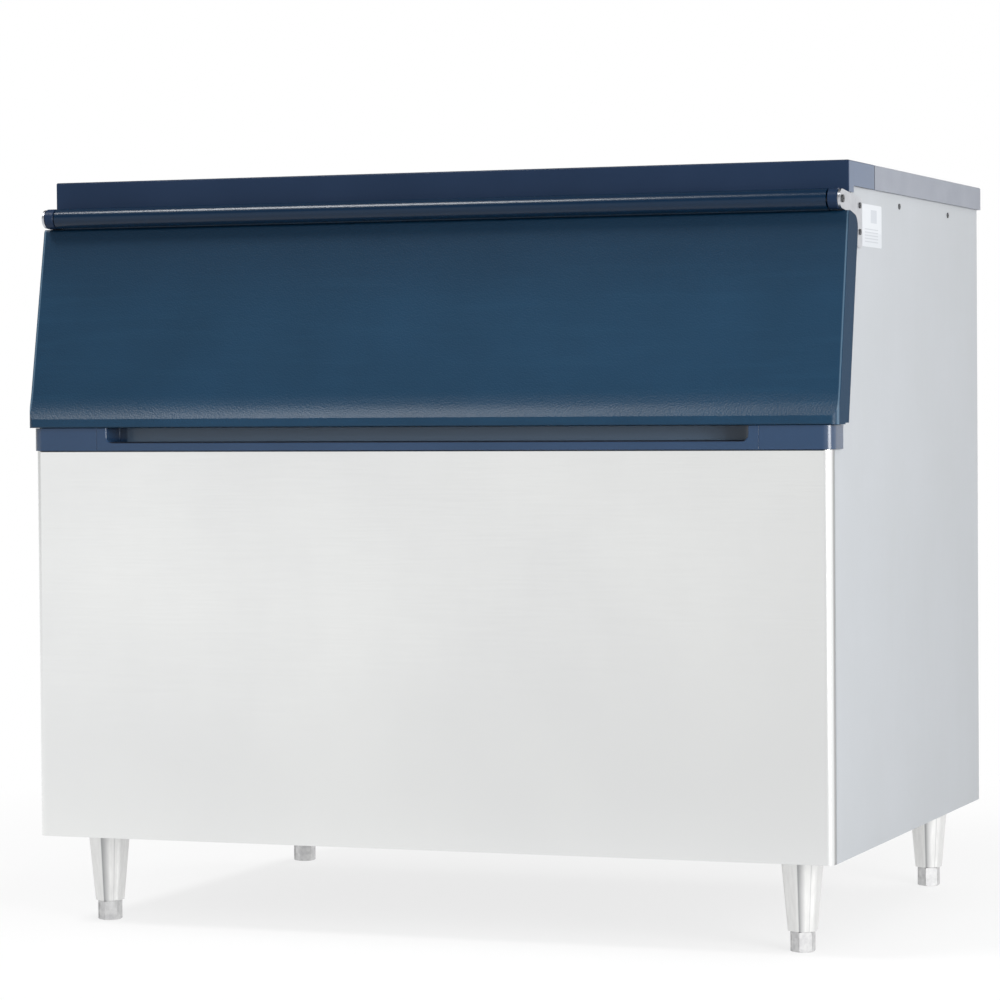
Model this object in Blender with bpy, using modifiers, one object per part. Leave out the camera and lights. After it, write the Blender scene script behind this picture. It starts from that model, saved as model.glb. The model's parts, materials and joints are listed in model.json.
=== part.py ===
# Ice storage bin: an insulated cabinet that stands under an ice machine, with a sloped lift-up
# door on a hinge bar, an open top with a rail for the machine, and four adjustable legs.
# Metres, +Z up, the front faces -Y. The origin is on the floor, under the middle of the bin.

import bmesh
import bpy
from math import atan2, cos, pi, radians, sin, tan
from mathutils import Matrix, Vector

# Cabinet
cabinet_width = 1.219
cabinet_depth = 0.860
cabinet_height = 0.970
sheet = 0.001
fit_gap = 0.0003
overrun = 0.02
side_wall = 0.054
front_wall = 0.062
back_wall = 0.052
floor_wall = 0.064

# Front panel and side panels
front_panel_share = 0.58763
front_wrap = 0.015
front_corner_radius = 0.0115
side_flange = 0.012

# Sill under the door
sill_height = 0.034
sill_depth = 0.048
sill_side_proud = 0.004
sill_front_proud = 0.0015
sill_corner_width = 0.1065
sill_corner_radius = 0.016
sill_corner_wall = 0.0035
recess_end = 0.0155
recess_floor = 0.012
recess_back = 0.005
recess_corner_radius = 0.009
sill_wall = 0.003

# Sloped front: the liner's white frame that the door closes on
front_slope = radians(11)
frame_foot_depth = 0.0472
frame_thickness = 0.004
frame_side_clear = 0.0003
opening_bottom_rise = 0.016
header_height = 0.098
header_overhang = 0.0085

# Liner
liner_wall = 0.004
cavity_radius = 0.030
top_flange_thickness = 0.004
top_flange_side_clear = 0.0035

# Top rail and fascia
rail_height = 0.035
rail_thickness = 0.0035
rail_side_overhang = 0.004
rail_rear_overhang = 0.010
rail_edge_radius = 0.002
rail_joint_gap = 0.003
fascia_set_back = 0.034
fascia_cover_depth = 0.1355
fascia_skirt_height = 0.065
fascia_skirt_end_clear = 0.005
fascia_dip_length = 0.025
fascia_dip_height = 0.0444
fascia_rib_thickness = 0.0025
fascia_rib_count = 7
fascia_rib_end_inset = 0.060

# Door
door_top_drop = 0.0145
door_thickness = 0.039
door_stand_off = 0.0059
door_side_proud = 0.011
door_wall = 0.0068
door_crease_radius = 0.004
door_corner_radius = 0.0145
door_skirt_reach = 0.004
door_top_radius = 0.005
door_rear_radius = 0.018
flare_start = 0.0432
lip_reach = 0.005
lip_height = 0.0127
lip_lean = 0.0005
lip_thickness = 0.004
lip_drop_clear = 0.0003
lip_radius = 0.003
pocket_depth = 0.034
pocket_height = 0.011
rear_rim_rise = 0.002
inner_pan_thickness = 0.0016
inner_pan_edge = 0.0015
plug_side_clear = 0.015
plug_end_clear = 0.012
plug_draft = 0.006
plug_reach = 0.008
gasket_width = 0.010
gasket_side_inset = 0.0175
gasket_end_inset = 0.003
gasket_radius = 0.004

# Hinge
hinge_drop = 0.0555
hinge_proud = 0.0116
barrel_radius = 0.0145
barrel_bore_radius = 0.0056
barrel_end_inset = 0.0165
web_end_inset = 0.003
web_front_reach = 0.004
web_rear_reach = 0.018
rod_radius = 0.005
rod_tap_radius = 0.0032
rod_tap_depth = 0.015
bush_gap = 0.002
bush_bore_clear = 0.0003
bracket_thickness = 0.0035
bracket_nose_radius = 0.0135
bracket_arm_rise = 0.0045
bracket_arm_drop = 0.021
bracket_reach = 0.1035
bracket_strip_width = 0.025
bracket_strip_drop = 0.0645
bracket_inner_radius = 0.014
bracket_corner_radius = 0.004
pivot_shank_radius = 0.0029
pivot_head_radius = 0.0055
pivot_head_height = 0.003
pivot_shank_length = 0.016

# Screws on the sides
screw_shank_radius = 0.002
screw_hole_radius = 0.0023
screw_head_radius = 0.0042
screw_head_height = 0.0022
screw_length = 0.010
bracket_screw_upper_drop = 0.0055
bracket_screw_lower_drop = 0.0425
side_screw_drop = 0.052
side_screw_front_depth = 0.373
side_screw_rear_inset = 0.193

# Ice baffle
baffle_thickness = 0.002
baffle_top_clear = 0.020
baffle_drop = 0.112
baffle_hem = 0.018
baffle_side_clear = 0.008
baffle_bend_radius = 0.004
baffle_screw_offset = 0.350
baffle_screw_drop = 0.030

# Drain
drain_rear_inset = 0.120
drain_bore_radius = 0.011
drain_tube_radius = 0.0165
drain_flange_radius = 0.032
drain_flange_thickness = 0.005
drain_seat_radius = 0.026
drain_seat_depth = 0.002
drain_tail = 0.030
drain_nut_radius = 0.026
drain_nut_height = 0.009
strainer_hole_radius = 0.0022
strainer_ring_radius = 0.0075
strainer_hole_count = 8

# Legs and feet
leg_side_inset = 0.070
leg_front_inset = 0.090
leg_rear_inset = 0.050
leg_plate_size = 0.086
leg_plate_thickness = 0.003
leg_plate_radius = 0.008
leg_body_height = 0.1014
leg_top_radius = 0.0325
leg_bottom_radius = 0.0225
leg_corner_radius = 0.011
leg_sides = 6
leg_stud_radius = 0.006
leg_stud_clear = 0.0005
leg_bore_radius = 0.0088
leg_bore_depth = 0.050
foot_height = 0.029
foot_corner_radius = 0.0182
foot_face_radius = 0.0160
foot_chamfer = 0.0025
foot_stud_radius = 0.008
foot_stud_height = 0.045

# Facets of round work
arc_steps = 6
fine_steps = 4
round_steps = 28
small_round_steps = 16
hole_steps = 6

# Places worked out from the sizes above
half_width = cabinet_width / 2
front_y = -(cabinet_depth + rail_rear_overhang - lip_reach) / 2
leg_top_z = foot_height + fit_gap + leg_body_height
base_z = leg_top_z + fit_gap + leg_plate_thickness - sheet
front_panel_height = cabinet_height * front_panel_share
sill_top = front_panel_height + sill_height
panel_top = cabinet_height - rail_thickness - 2 * fit_gap - rail_thickness - top_flange_thickness
rail_bottom = cabinet_height - rail_height
frame_rear = -frame_thickness - fit_gap
door_face = door_stand_off + door_thickness
door_half_width = half_width + door_side_proud
cavity_half_width = half_width - side_wall
opening_bottom = sill_top + opening_bottom_rise
opening_top = cabinet_height - header_height
top_flange_z = panel_top + fit_gap
hinge_height = cabinet_height - hinge_drop
hinge_rise = hinge_height - sill_top
hinge_depth = frame_foot_depth + hinge_rise * tan(front_slope) - (door_face + hinge_proud) / cos(front_slope)
door_length = (hinge_rise - door_top_drop - door_face * sin(front_slope)) / cos(front_slope)
fascia_front_depth = hinge_depth + fascia_set_back
header_depth = fascia_front_depth + fascia_cover_depth + header_overhang
hinge_half_length = half_width - barrel_end_inset
plate_inner = half_width + fit_gap
plate_outer = plate_inner + bracket_thickness
bracket_rear_depth = hinge_depth + bracket_reach
bracket_screw_depth = bracket_rear_depth - bracket_strip_width / 2
baffle_screw_height = cabinet_height - baffle_top_clear - baffle_screw_drop
drain_depth = cabinet_depth - drain_rear_inset
drain_floor = floor_wall + fit_gap
leg_x = half_width - leg_side_inset


def depth(d):
    """World Y of a place d behind the front panel's face."""
    return front_y + d


def height(h):
    """World Z of a place h above the underside of the cabinet."""
    return base_z + h


def slope_point(u, w):
    """World (y, z) of a place u up the sloped frame from the sill, and w in front of its face."""
    y = depth(frame_foot_depth) + u * sin(front_slope) - w * cos(front_slope)
    z = height(sill_top) + u * cos(front_slope) + w * sin(front_slope)
    return y, z


def slope_place(y, z):
    """Place (u, w) on the sloped frame of a world (y, z)."""
    back = y - depth(frame_foot_depth)
    up = z - height(sill_top)
    return back * sin(front_slope) + up * cos(front_slope), up * sin(front_slope) - back * cos(front_slope)


def slope_at(h, w):
    """World (y, z) of the place at height h on the plane that lies w in front of the frame."""
    u = (h - sill_top - w * sin(front_slope)) / cos(front_slope)
    return slope_point(u, w)


# Planes that outlines are drawn in: (y, z) along X, (x, y) along Z, (x, z) along -Y, and (x, u)
# along w on the sloped frame
SIDE = Matrix(((0, 0, 1, 0), (1, 0, 0, 0), (0, 1, 0, 0), (0, 0, 0, 1)))
PLAN = Matrix.Identity(4)
FRONT = Matrix(((1, 0, 0, 0), (0, 0, -1, 0), (0, 1, 0, 0), (0, 0, 0, 1)))
SLOPE = Matrix(
    (
        (1, 0, 0, 0),
        (0, sin(front_slope), -cos(front_slope), depth(frame_foot_depth)),
        (0, cos(front_slope), sin(front_slope), height(sill_top)),
        (0, 0, 0, 1),
    )
)

for old in list(bpy.data.objects):
    bpy.data.objects.remove(old, do_unlink=True)

parts = bpy.data.collections.new("ice_storage_bin")
cutters = bpy.data.collections.new("cutters")
bpy.context.scene.collection.children.link(parts)
bpy.context.scene.collection.children.link(cutters)


def finish(name, colour, roughness, metallic):
    """A Principled material."""
    material = bpy.data.materials.new(name)
    material.use_nodes = True
    shader = material.node_tree.nodes["Principled BSDF"]
    shader.inputs["Base Color"].default_value = (*colour, 1)
    shader.inputs["Roughness"].default_value = roughness
    shader.inputs["Metallic"].default_value = metallic
    material.diffuse_color = (*colour, 1)
    return material


stainless = finish("brushed stainless sheet", (0.62, 0.62, 0.61), 0.32, 1)
grey_sheet = finish("coated grey sheet", (0.62, 0.64, 0.66), 0.45, 0)
grey_rail_plastic = finish("grey rail plastic", (0.42, 0.44, 0.48), 0.5, 0)
blue_plastic = finish("blue grained plastic", (0.016, 0.052, 0.105), 0.45, 0)
blue_smooth = finish("blue smooth plastic", (0.022, 0.058, 0.115), 0.4, 0)
white_liner = finish("white food-grade plastic", (0.80, 0.82, 0.83), 0.35, 0)
foam_yellow = finish("rigid insulation foam", (0.70, 0.62, 0.40), 0.9, 0)
grey_rubber = finish("grey gasket rubber", (0.10, 0.10, 0.11), 0.7, 0)
plated_steel = finish("plated steel", (0.60, 0.60, 0.60), 0.35, 1)
screw_steel = finish("screw steel", (0.35, 0.35, 0.36), 0.4, 1)
cast_nickel = finish("nickel plated leg", (0.60, 0.60, 0.59), 0.38, 1)
drain_plastic = finish("drain plastic", (0.75, 0.76, 0.77), 0.4, 0)


def corner_points(before, here, after, radius):
    """Points of the arc that rounds one corner of an outline."""
    here = Vector(here)
    back = (Vector(before) - here).normalized()
    ahead = (Vector(after) - here).normalized()
    half = back.angle(ahead) / 2
    centre = here + (back + ahead).normalized() * radius / sin(half)
    start = here + back * radius / tan(half) - centre
    end = here + ahead * radius / tan(half) - centre
    first = atan2(start.y, start.x)
    sweep = (atan2(end.y, end.x) - first + pi) % (2 * pi) - pi
    turns = [first + sweep * k / arc_steps for k in range(arc_steps + 1)]
    return [(centre.x + radius * cos(t), centre.y + radius * sin(t)) for t in turns]


def rounded(corners):
    """A closed outline from corners (a, b, radius); a corner without a radius stays sharp."""
    points = []
    for i, corner in enumerate(corners):
        if len(corner) == 2 or not corner[2]:
            points.append(tuple(corner[:2]))
            continue
        after = corners[(i + 1) % len(corners)]
        points.extend(corner_points(corners[i - 1][:2], corner[:2], after[:2], corner[2]))
    return points


def circle(a, b, radius, steps=small_round_steps):
    """A closed round outline."""
    turns = [2 * pi * k / steps for k in range(steps)]
    return [(a + radius * cos(t), b + radius * sin(t)) for t in turns]


def polygon(a, b, radius, sides):
    """A closed outline with equal sides and one corner straight ahead of its middle."""
    turns = [pi / 2 + 2 * pi * k / sides for k in range(sides)]
    return [(a + radius * cos(t), b + radius * sin(t)) for t in turns]


def show(obj, material):
    """Gives a finished piece its material, smooth round faces and sharp corners."""
    obj.data.materials.clear()
    obj.data.materials.append(material)
    obj.data.shade_smooth()
    obj.data.set_sharp_from_angle(angle=radians(30))
    return obj


def mesh_object(name, mesh, group):
    """Links a mesh as a piece, or as a hidden cutter."""
    mesh.name = name
    obj = bpy.data.objects.new(name, mesh)
    group.objects.link(obj)
    if group is cutters:
        obj.display_type = "WIRE"
        obj.hide_render = True
    return obj


def outline_solid(name, outline, low, high, plane, group=parts, holes=()):
    """A flat outline with a thickness, from low to high along the plane's third direction."""
    curve = bpy.data.curves.new(name, "CURVE")
    curve.dimensions = "2D"
    curve.fill_mode = "BOTH"
    curve.extrude = (high - low) / 2
    for points in (outline, *holes):
        spline = curve.splines.new("POLY")
        spline.points.add(len(points) - 1)
        for point, (a, b) in zip(spline.points, points):
            point.co = (a, b, 0, 1)
        spline.use_cyclic_u = True
    flat = bpy.data.objects.new(name, curve)
    cutters.objects.link(flat)
    bpy.context.view_layer.update()
    seen = flat.evaluated_get(bpy.context.evaluated_depsgraph_get())
    mesh = bpy.data.meshes.new_from_object(seen)
    bpy.data.objects.remove(flat, do_unlink=True)
    bm = bmesh.new()
    bm.from_mesh(mesh)
    bmesh.ops.remove_doubles(bm, verts=bm.verts, dist=fit_gap / 100)
    bmesh.ops.dissolve_limit(bm, angle_limit=radians(0.2), verts=bm.verts, edges=bm.edges)
    bmesh.ops.translate(bm, verts=bm.verts, vec=(0, 0, (low + high) / 2))
    bmesh.ops.transform(bm, verts=bm.verts, matrix=plane)
    bmesh.ops.recalc_face_normals(bm, faces=bm.faces)
    bm.to_mesh(mesh)
    bm.free()
    return mesh_object(name, mesh, group)


def edit(obj, change):
    """Runs a change on a piece's mesh."""
    bm = bmesh.new()
    bm.from_mesh(obj.data)
    change(bm)
    bm.to_mesh(obj.data)
    bm.free()


def round_edges(obj, chosen, radius, steps=fine_steps):
    """Rounds the edges that chosen(first corner, second corner, side normals) picks."""

    def change(bm):
        bm.normal_update()
        picked = []
        for edge in bm.edges:
            first, second = (v.co for v in edge.verts)
            if chosen(first, second, [f.normal for f in edge.link_faces]):
                picked.append(edge)
        bmesh.ops.bevel(
            bm, geom=picked, offset=radius, segments=steps, profile=0.5, affect="EDGES", clamp_overlap=True
        )
        bmesh.ops.remove_doubles(bm, verts=bm.verts, dist=fit_gap / 100)

    edit(obj, change)


def open_faces(obj, chosen):
    """Deletes the faces that chosen(centre, normal) picks, so the rest can take a wall."""

    def change(bm):
        picked = [f for f in bm.faces if chosen(f.calc_center_median(), f.normal)]
        bmesh.ops.delete(bm, geom=picked, context="FACES")

    edit(obj, change)


def settle(obj):
    """Makes the cuts so far part of the mesh, so that the edges they leave can be rounded."""
    bpy.context.view_layer.update()
    seen = obj.evaluated_get(bpy.context.evaluated_depsgraph_get())
    mesh = bpy.data.meshes.new_from_object(seen)
    obj.modifiers.clear()
    obj.data = mesh
    mesh.name = obj.name
    return obj


def give_wall(obj, thickness):
    """Turns an open surface into a wall that lies inside it."""
    wall = obj.modifiers.new("Wall", "SOLIDIFY")
    wall.thickness = thickness
    wall.offset = -1
    wall.use_even_offset = True
    return obj


def combine(obj, tool, operation):
    """Cuts a piece with a tool, or joins the tool to it."""
    step = obj.modifiers.new(operation.title(), "BOOLEAN")
    step.operation = operation
    step.object = tool
    step.solver = "EXACT"
    return obj


def turned(name, profile, place, group=parts, steps=round_steps):
    """A turned piece: a profile of (radius, z), top to bottom on its outer side.

    A profile that keeps off the axis closes on itself, so the piece has a bore."""
    mesh = bpy.data.meshes.new(name)
    corners = [(radius, 0, z) for radius, z in profile]
    links = [(i, i + 1) for i in range(len(corners) - 1)]
    if profile[0][0] > 0:
        links.append((len(corners) - 1, 0))
    mesh.from_pydata(corners, links, [])
    obj = mesh_object(name, mesh, group)
    spin = obj.modifiers.new("Turn", "SCREW")
    spin.steps = steps
    spin.render_steps = steps
    spin.use_merge_vertices = True
    spin.merge_threshold = fit_gap / 30
    obj.matrix_world = place
    return obj


def rod_between(name, radius, low, high, place, group=parts, steps=round_steps):
    """A plain round bar along the place's Z, from low to high."""
    return turned(name, [(0, high), (radius, high), (radius, low), (0, low)], place, group, steps)


def along_x(y, z):
    """The place of a turned piece whose axis runs along +X through (y, z)."""
    return Matrix.Translation((0, y, z)) @ Matrix.Rotation(pi / 2, 4, "Y")


def upright(x, y):
    """The place of a turned piece whose axis is vertical through (x, y)."""
    return Matrix.Translation((x, y, 0))


def handed(obj, name, material):
    """The left-hand copy of a right-hand piece, mirrored across the middle of the bin."""
    seen = obj.evaluated_get(bpy.context.evaluated_depsgraph_get())
    mesh = bpy.data.meshes.new_from_object(seen)
    bm = bmesh.new()
    bm.from_mesh(mesh)
    bmesh.ops.transform(bm, verts=bm.verts, matrix=Matrix.Scale(-1, 4, (1, 0, 0)) @ obj.matrix_world)
    bmesh.ops.reverse_faces(bm, faces=bm.faces)
    bm.to_mesh(mesh)
    bm.free()
    group = cutters if obj.hide_render else parts
    copy = mesh_object(name, mesh, group)
    return show(copy, material) if group is parts else copy


def both_hands(obj, stem, material):
    """Shows a right-hand piece and adds its left-hand copy."""
    show(obj, material)
    bpy.context.view_layer.update()
    return obj, handed(obj, stem + "_left", material)


def side_screw_bores():
    """Cutter for the holes that the side screws of the right-hand side pass through."""
    bores = []
    low = half_width - screw_length - fit_gap
    high = half_width + overrun
    for d, h in side_screw_places():
        place = along_x(depth(d), height(h))
        bore = rod_between("screw_bore", screw_hole_radius, low, high, place, cutters, small_round_steps)
        bores.append(bore)
    for bore in bores[1:]:
        combine(bores[0], bore, "UNION")
    return bores[0]


def side_screw_places():
    """(depth, height) of the four screws of one side."""
    return (
        (bracket_screw_depth, hinge_height - bracket_screw_upper_drop),
        (bracket_screw_depth, hinge_height - bracket_screw_lower_drop),
        (side_screw_front_depth, cabinet_height - side_screw_drop),
        (cabinet_depth - side_screw_rear_inset, cabinet_height - side_screw_drop),
    )


def baffle_screw_bores():
    """Cutter for the holes of the two baffle screws."""
    first = None
    for x in (-baffle_screw_offset, baffle_screw_offset):
        outline = circle(x, height(baffle_screw_height), screw_hole_radius)
        low = -depth(header_depth + overrun)
        high = -depth(header_depth - screw_length - fit_gap)
        bore = outline_solid("baffle_bore", outline, low, high, FRONT, cutters)
        first = combine(first, bore, "UNION") if first else bore
    return first


def front_panel():
    """Stainless sheet, wrapped round both front corners, with flanges at the top and bottom."""
    outline = rounded(
        [
            (-half_width, depth(front_wrap)),
            (-half_width, depth(0), front_corner_radius),
            (half_width, depth(0), front_corner_radius),
            (half_width, depth(front_wrap)),
        ]
    )
    obj = outline_solid("front_panel", outline, height(0), height(front_panel_height), PLAN)
    open_faces(obj, lambda centre, normal: normal.y > 0.9)
    show(give_wall(obj, sheet), stainless)


def side_panels(bores):
    """Coated sheets with flanges turned in along the slope, the top, the back and the bottom."""
    front = depth(front_wrap + fit_gap)
    ledge = depth(sill_depth + fit_gap)
    rear = depth(cabinet_depth - sheet - fit_gap)
    outline = [
        (front, height(0)),
        (rear, height(0)),
        (rear, height(panel_top)),
        slope_at(panel_top, frame_rear),
        slope_at(sill_top, frame_rear),
        (ledge, height(sill_top)),
        (ledge, height(front_panel_height)),
        (front, height(front_panel_height)),
    ]
    obj = outline_solid("side_panel_right", outline, half_width - side_flange, half_width, SIDE)
    lowest_flange_z = height(sill_top) + sheet

    def is_open(centre, normal):
        inner = normal.x < -0.9
        plain_front = normal.y < -0.5 and centre.z < lowest_flange_z
        step = normal.z > 0.5 and centre.z < lowest_flange_z
        return inner or plain_front or step

    open_faces(obj, is_open)
    combine(give_wall(obj, sheet), bores, "DIFFERENCE")
    both_hands(obj, "side_panel", grey_sheet)


def back_panel():
    """Flat coated sheet that closes the back."""
    outline = [
        (-half_width, height(0)),
        (half_width, height(0)),
        (half_width, height(panel_top)),
        (-half_width, height(panel_top)),
    ]
    back = depth(cabinet_depth)
    show(outline_solid("back_panel", outline, -back, sheet - back, FRONT), grey_sheet)


def base_pan():
    """Flat sheet on the bottom flanges of the panels, with the drain's hole."""
    side = half_width - sheet - fit_gap
    front = depth(sheet + fit_gap)
    rear = depth(cabinet_depth - 2 * sheet - 2 * fit_gap)
    corner = front_corner_radius - sheet - fit_gap
    outline = rounded([(-side, rear), (-side, front, corner), (side, front, corner), (side, rear)])
    low = height(sheet + fit_gap)
    hole = circle(0, depth(drain_depth), drain_tube_radius + fit_gap, round_steps)
    show(outline_solid("base_pan", outline, low, low + sheet, PLAN, holes=(hole,)), grey_sheet)


def cavity_outline(wall):
    """Side outline of the space for ice with its front and top openings, grown by a wall."""
    floor = height(floor_wall) - wall
    front = depth(front_wall) - wall
    rear = depth(cabinet_depth - back_wall) + wall
    low = height(opening_bottom) - wall
    high = height(opening_top) + wall
    header = depth(header_depth) - wall
    radius = cavity_radius + wall
    if wall:
        slab = -frame_thickness / 2
        low_slab = slope_at(opening_bottom - wall, slab)
        high_slab = slope_at(opening_top + wall, slab)
        top = height(panel_top + fit_gap) + top_flange_thickness / 2
    else:
        low_slab = (depth(-overrun), low)
        high_slab = (depth(-overrun), high)
        top = height(cabinet_height + overrun)
    corners = [
        (front, floor, radius),
        (front, low),
        low_slab,
        high_slab,
        (header, high),
        (header, top),
        (rear, top),
        (rear, floor, radius),
    ]
    return rounded(corners)


def cavity_solid(name, wall, side, group):
    """The grown space for ice as a solid, with its four upright corners and its floor rounded."""
    obj = outline_solid(name, cavity_outline(wall), -side, side, SIDE, group)
    front = depth(front_wall) - wall
    rear = depth(cabinet_depth - back_wall) + wall
    ledge = height(opening_bottom) - wall

    def at_tub_corner(first, second, normals):
        at_side = abs(first.x - second.x) < sheet and abs(abs(first.x) - side) < sheet
        behind_front = min(first.y, second.y) > front - sheet
        on_front_wall = max(first.y, second.y) < front + sheet and max(first.z, second.z) < ledge + sheet
        on_rear_wall = min(first.y, second.y) > rear - sheet
        low_down = max(first.z, second.z) < ledge - sheet
        return at_side and behind_front and (on_front_wall or on_rear_wall or low_down)

    round_edges(obj, at_tub_corner, cavity_radius + wall)
    return obj


def liner(baffle_bores):
    """Moulded white tub: the space for ice, the sloped frame for the door and the top flange."""
    cavity = cavity_solid("cavity", 0, cavity_half_width, cutters)
    obj = cavity_solid("liner", liner_wall, cavity_half_width + liner_wall, parts)
    side = half_width - frame_side_clear
    frame_low = fit_gap + frame_thickness * sin(front_slope)
    frame_high = (top_flange_z + top_flange_thickness / 2 - sill_top) / cos(front_slope)
    outline = [(-side, frame_low), (side, frame_low), (side, frame_high), (-side, frame_high)]
    combine(obj, outline_solid("frame_slab", outline, -frame_thickness, 0, SLOPE, cutters), "UNION")
    side = half_width - top_flange_side_clear
    front = slope_at(top_flange_z, -frame_thickness / 2)[0]
    rear = depth(cabinet_depth) - top_flange_side_clear
    outline = [(-side, front), (side, front), (side, rear), (-side, rear)]
    low = height(top_flange_z)
    flange = outline_solid("top_flange", outline, low, low + top_flange_thickness, PLAN, cutters)
    combine(obj, flange, "UNION")
    combine(obj, cavity, "DIFFERENCE")
    combine(obj, drain_bore_cutter(), "DIFFERENCE")
    combine(obj, baffle_bores, "DIFFERENCE")
    show(obj, white_liner)


def drain_bore_cutter():
    """Cutter for the drain tube's way through the floor."""
    place = upright(0, depth(drain_depth))
    low = base_z - overrun
    high = height(floor_wall + overrun)
    return rod_between("drain_bore", drain_tube_radius + fit_gap, low, high, place, cutters)


def foam(side_bores, baffle_bores):
    """Insulation between the liner and the outer sheets."""
    front = depth(sheet + fit_gap)
    under_sill = height(front_panel_height - sheet - fit_gap)
    floor = height(2 * sheet + 2 * fit_gap)
    rear = depth(cabinet_depth - 2 * sheet - 2 * fit_gap)
    top = panel_top - sheet - fit_gap
    slope_line = frame_rear - sheet - fit_gap
    outline = [
        (front, floor),
        (rear, floor),
        (rear, height(top)),
        slope_at(top, slope_line),
        slope_at(sill_top, slope_line),
        (depth(sill_depth + fit_gap), under_sill),
        (front, under_sill),
    ]
    side = half_width - sheet - fit_gap
    obj = outline_solid("foam_insulation", outline, -side, side, SIDE)

    def front_corner(first, second, normals):
        at_front = max(first.y, second.y) < front + sheet
        return at_front and any(abs(n.x) > 0.9 for n in normals) and any(n.y < -0.9 for n in normals)

    round_edges(obj, front_corner, front_corner_radius - sheet - fit_gap, arc_steps)
    space = liner_wall + fit_gap
    combine(obj, cavity_solid("liner_space", space, cavity_half_width + space, cutters), "DIFFERENCE")
    combine(obj, drain_bore_cutter(), "DIFFERENCE")
    combine(obj, side_bores, "DIFFERENCE")
    bpy.context.view_layer.update()
    combine(obj, handed(side_bores, "screw_bores_left", grey_sheet), "DIFFERENCE")
    combine(obj, baffle_bores, "DIFFERENCE")
    show(obj, foam_yellow)


def sill():
    """Blue strip under the door in three pieces; the middle one holds the finger recess."""
    front = depth(-sill_front_proud)
    rear = depth(sill_depth)
    low = height(front_panel_height + fit_gap)
    high = height(sill_top - fit_gap)
    end = half_width + sill_side_proud
    seam = end - sill_corner_width
    outline = rounded([(seam, rear), (seam, front), (end, front, sill_corner_radius), (end, rear)])
    corner = outline_solid("sill_corner_right", outline, low, high, PLAN)
    open_faces(corner, lambda centre, normal: normal.z < -0.9)
    both_hands(give_wall(corner, sill_corner_wall), "sill_corner", blue_smooth)

    side = seam - fit_gap
    outline = [(-side, low), (side, low), (side, high), (-side, high)]
    rail = outline_solid("sill_rail", outline, -rear, -front, FRONT)
    recess = side - recess_end
    floor = low + recess_floor
    outline = rounded(
        [
            (-recess, floor, recess_corner_radius),
            (recess, floor, recess_corner_radius),
            (recess, high + overrun),
            (-recess, high + overrun),
        ]
    )
    cutter = outline_solid("recess", outline, recess_back - rear, overrun - front, FRONT, cutters)
    combine(rail, cutter, "DIFFERENCE")
    side -= sill_wall
    outline = [
        (front + sill_wall, low - overrun),
        (rear - sill_wall, low - overrun),
        (rear - sill_wall, floor - sill_wall),
        (front + sill_wall, floor - sill_wall),
    ]
    combine(rail, outline_solid("sill_underside", outline, -side, side, SIDE, cutters), "DIFFERENCE")
    show(rail, blue_smooth)


def rail_outline(wall):
    """Plan of the top rail along both sides and the back, drawn in by a wall on its edges."""
    outer = half_width + rail_side_overhang - wall
    inner = cavity_half_width + wall
    rear = depth(cabinet_depth + rail_rear_overhang) - wall
    inner_rear = depth(cabinet_depth - back_wall) + wall
    front = depth(fascia_front_depth + fascia_cover_depth) + rail_joint_gap - (overrun if wall else 0)
    return [
        (-outer, front),
        (-inner, front),
        (-inner, inner_rear),
        (inner, inner_rear),
        (inner, front),
        (outer, front),
        (outer, rear),
        (-outer, rear),
    ]


def top_rail():
    """Grey channel, open below, that caps both sides and the back and carries the machine."""
    low = height(rail_bottom)
    high = height(cabinet_height)
    obj = outline_solid("top_rail", rail_outline(0), low, high, PLAN)

    def top_edge(first, second, normals):
        return min(first.z, second.z) > high - sheet

    round_edges(obj, top_edge, rail_edge_radius, 2)
    channel = outline_solid(
        "rail_channel", rail_outline(rail_thickness), low - overrun, high - rail_thickness, PLAN, cutters
    )
    combine(obj, channel, "DIFFERENCE")
    side = half_width + rail_side_overhang - rail_thickness
    rear = depth(cabinet_depth + rail_rear_overhang) - rail_thickness
    outline = [(-side, depth(0)), (side, depth(0)), (side, rear), (-side, rear)]
    seat = height(top_flange_z) + top_flange_thickness + fit_gap
    combine(obj, outline_solid("rail_seat", outline, low - overrun, seat, PLAN, cutters), "DIFFERENCE")
    show(obj, grey_rail_plastic)


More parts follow.
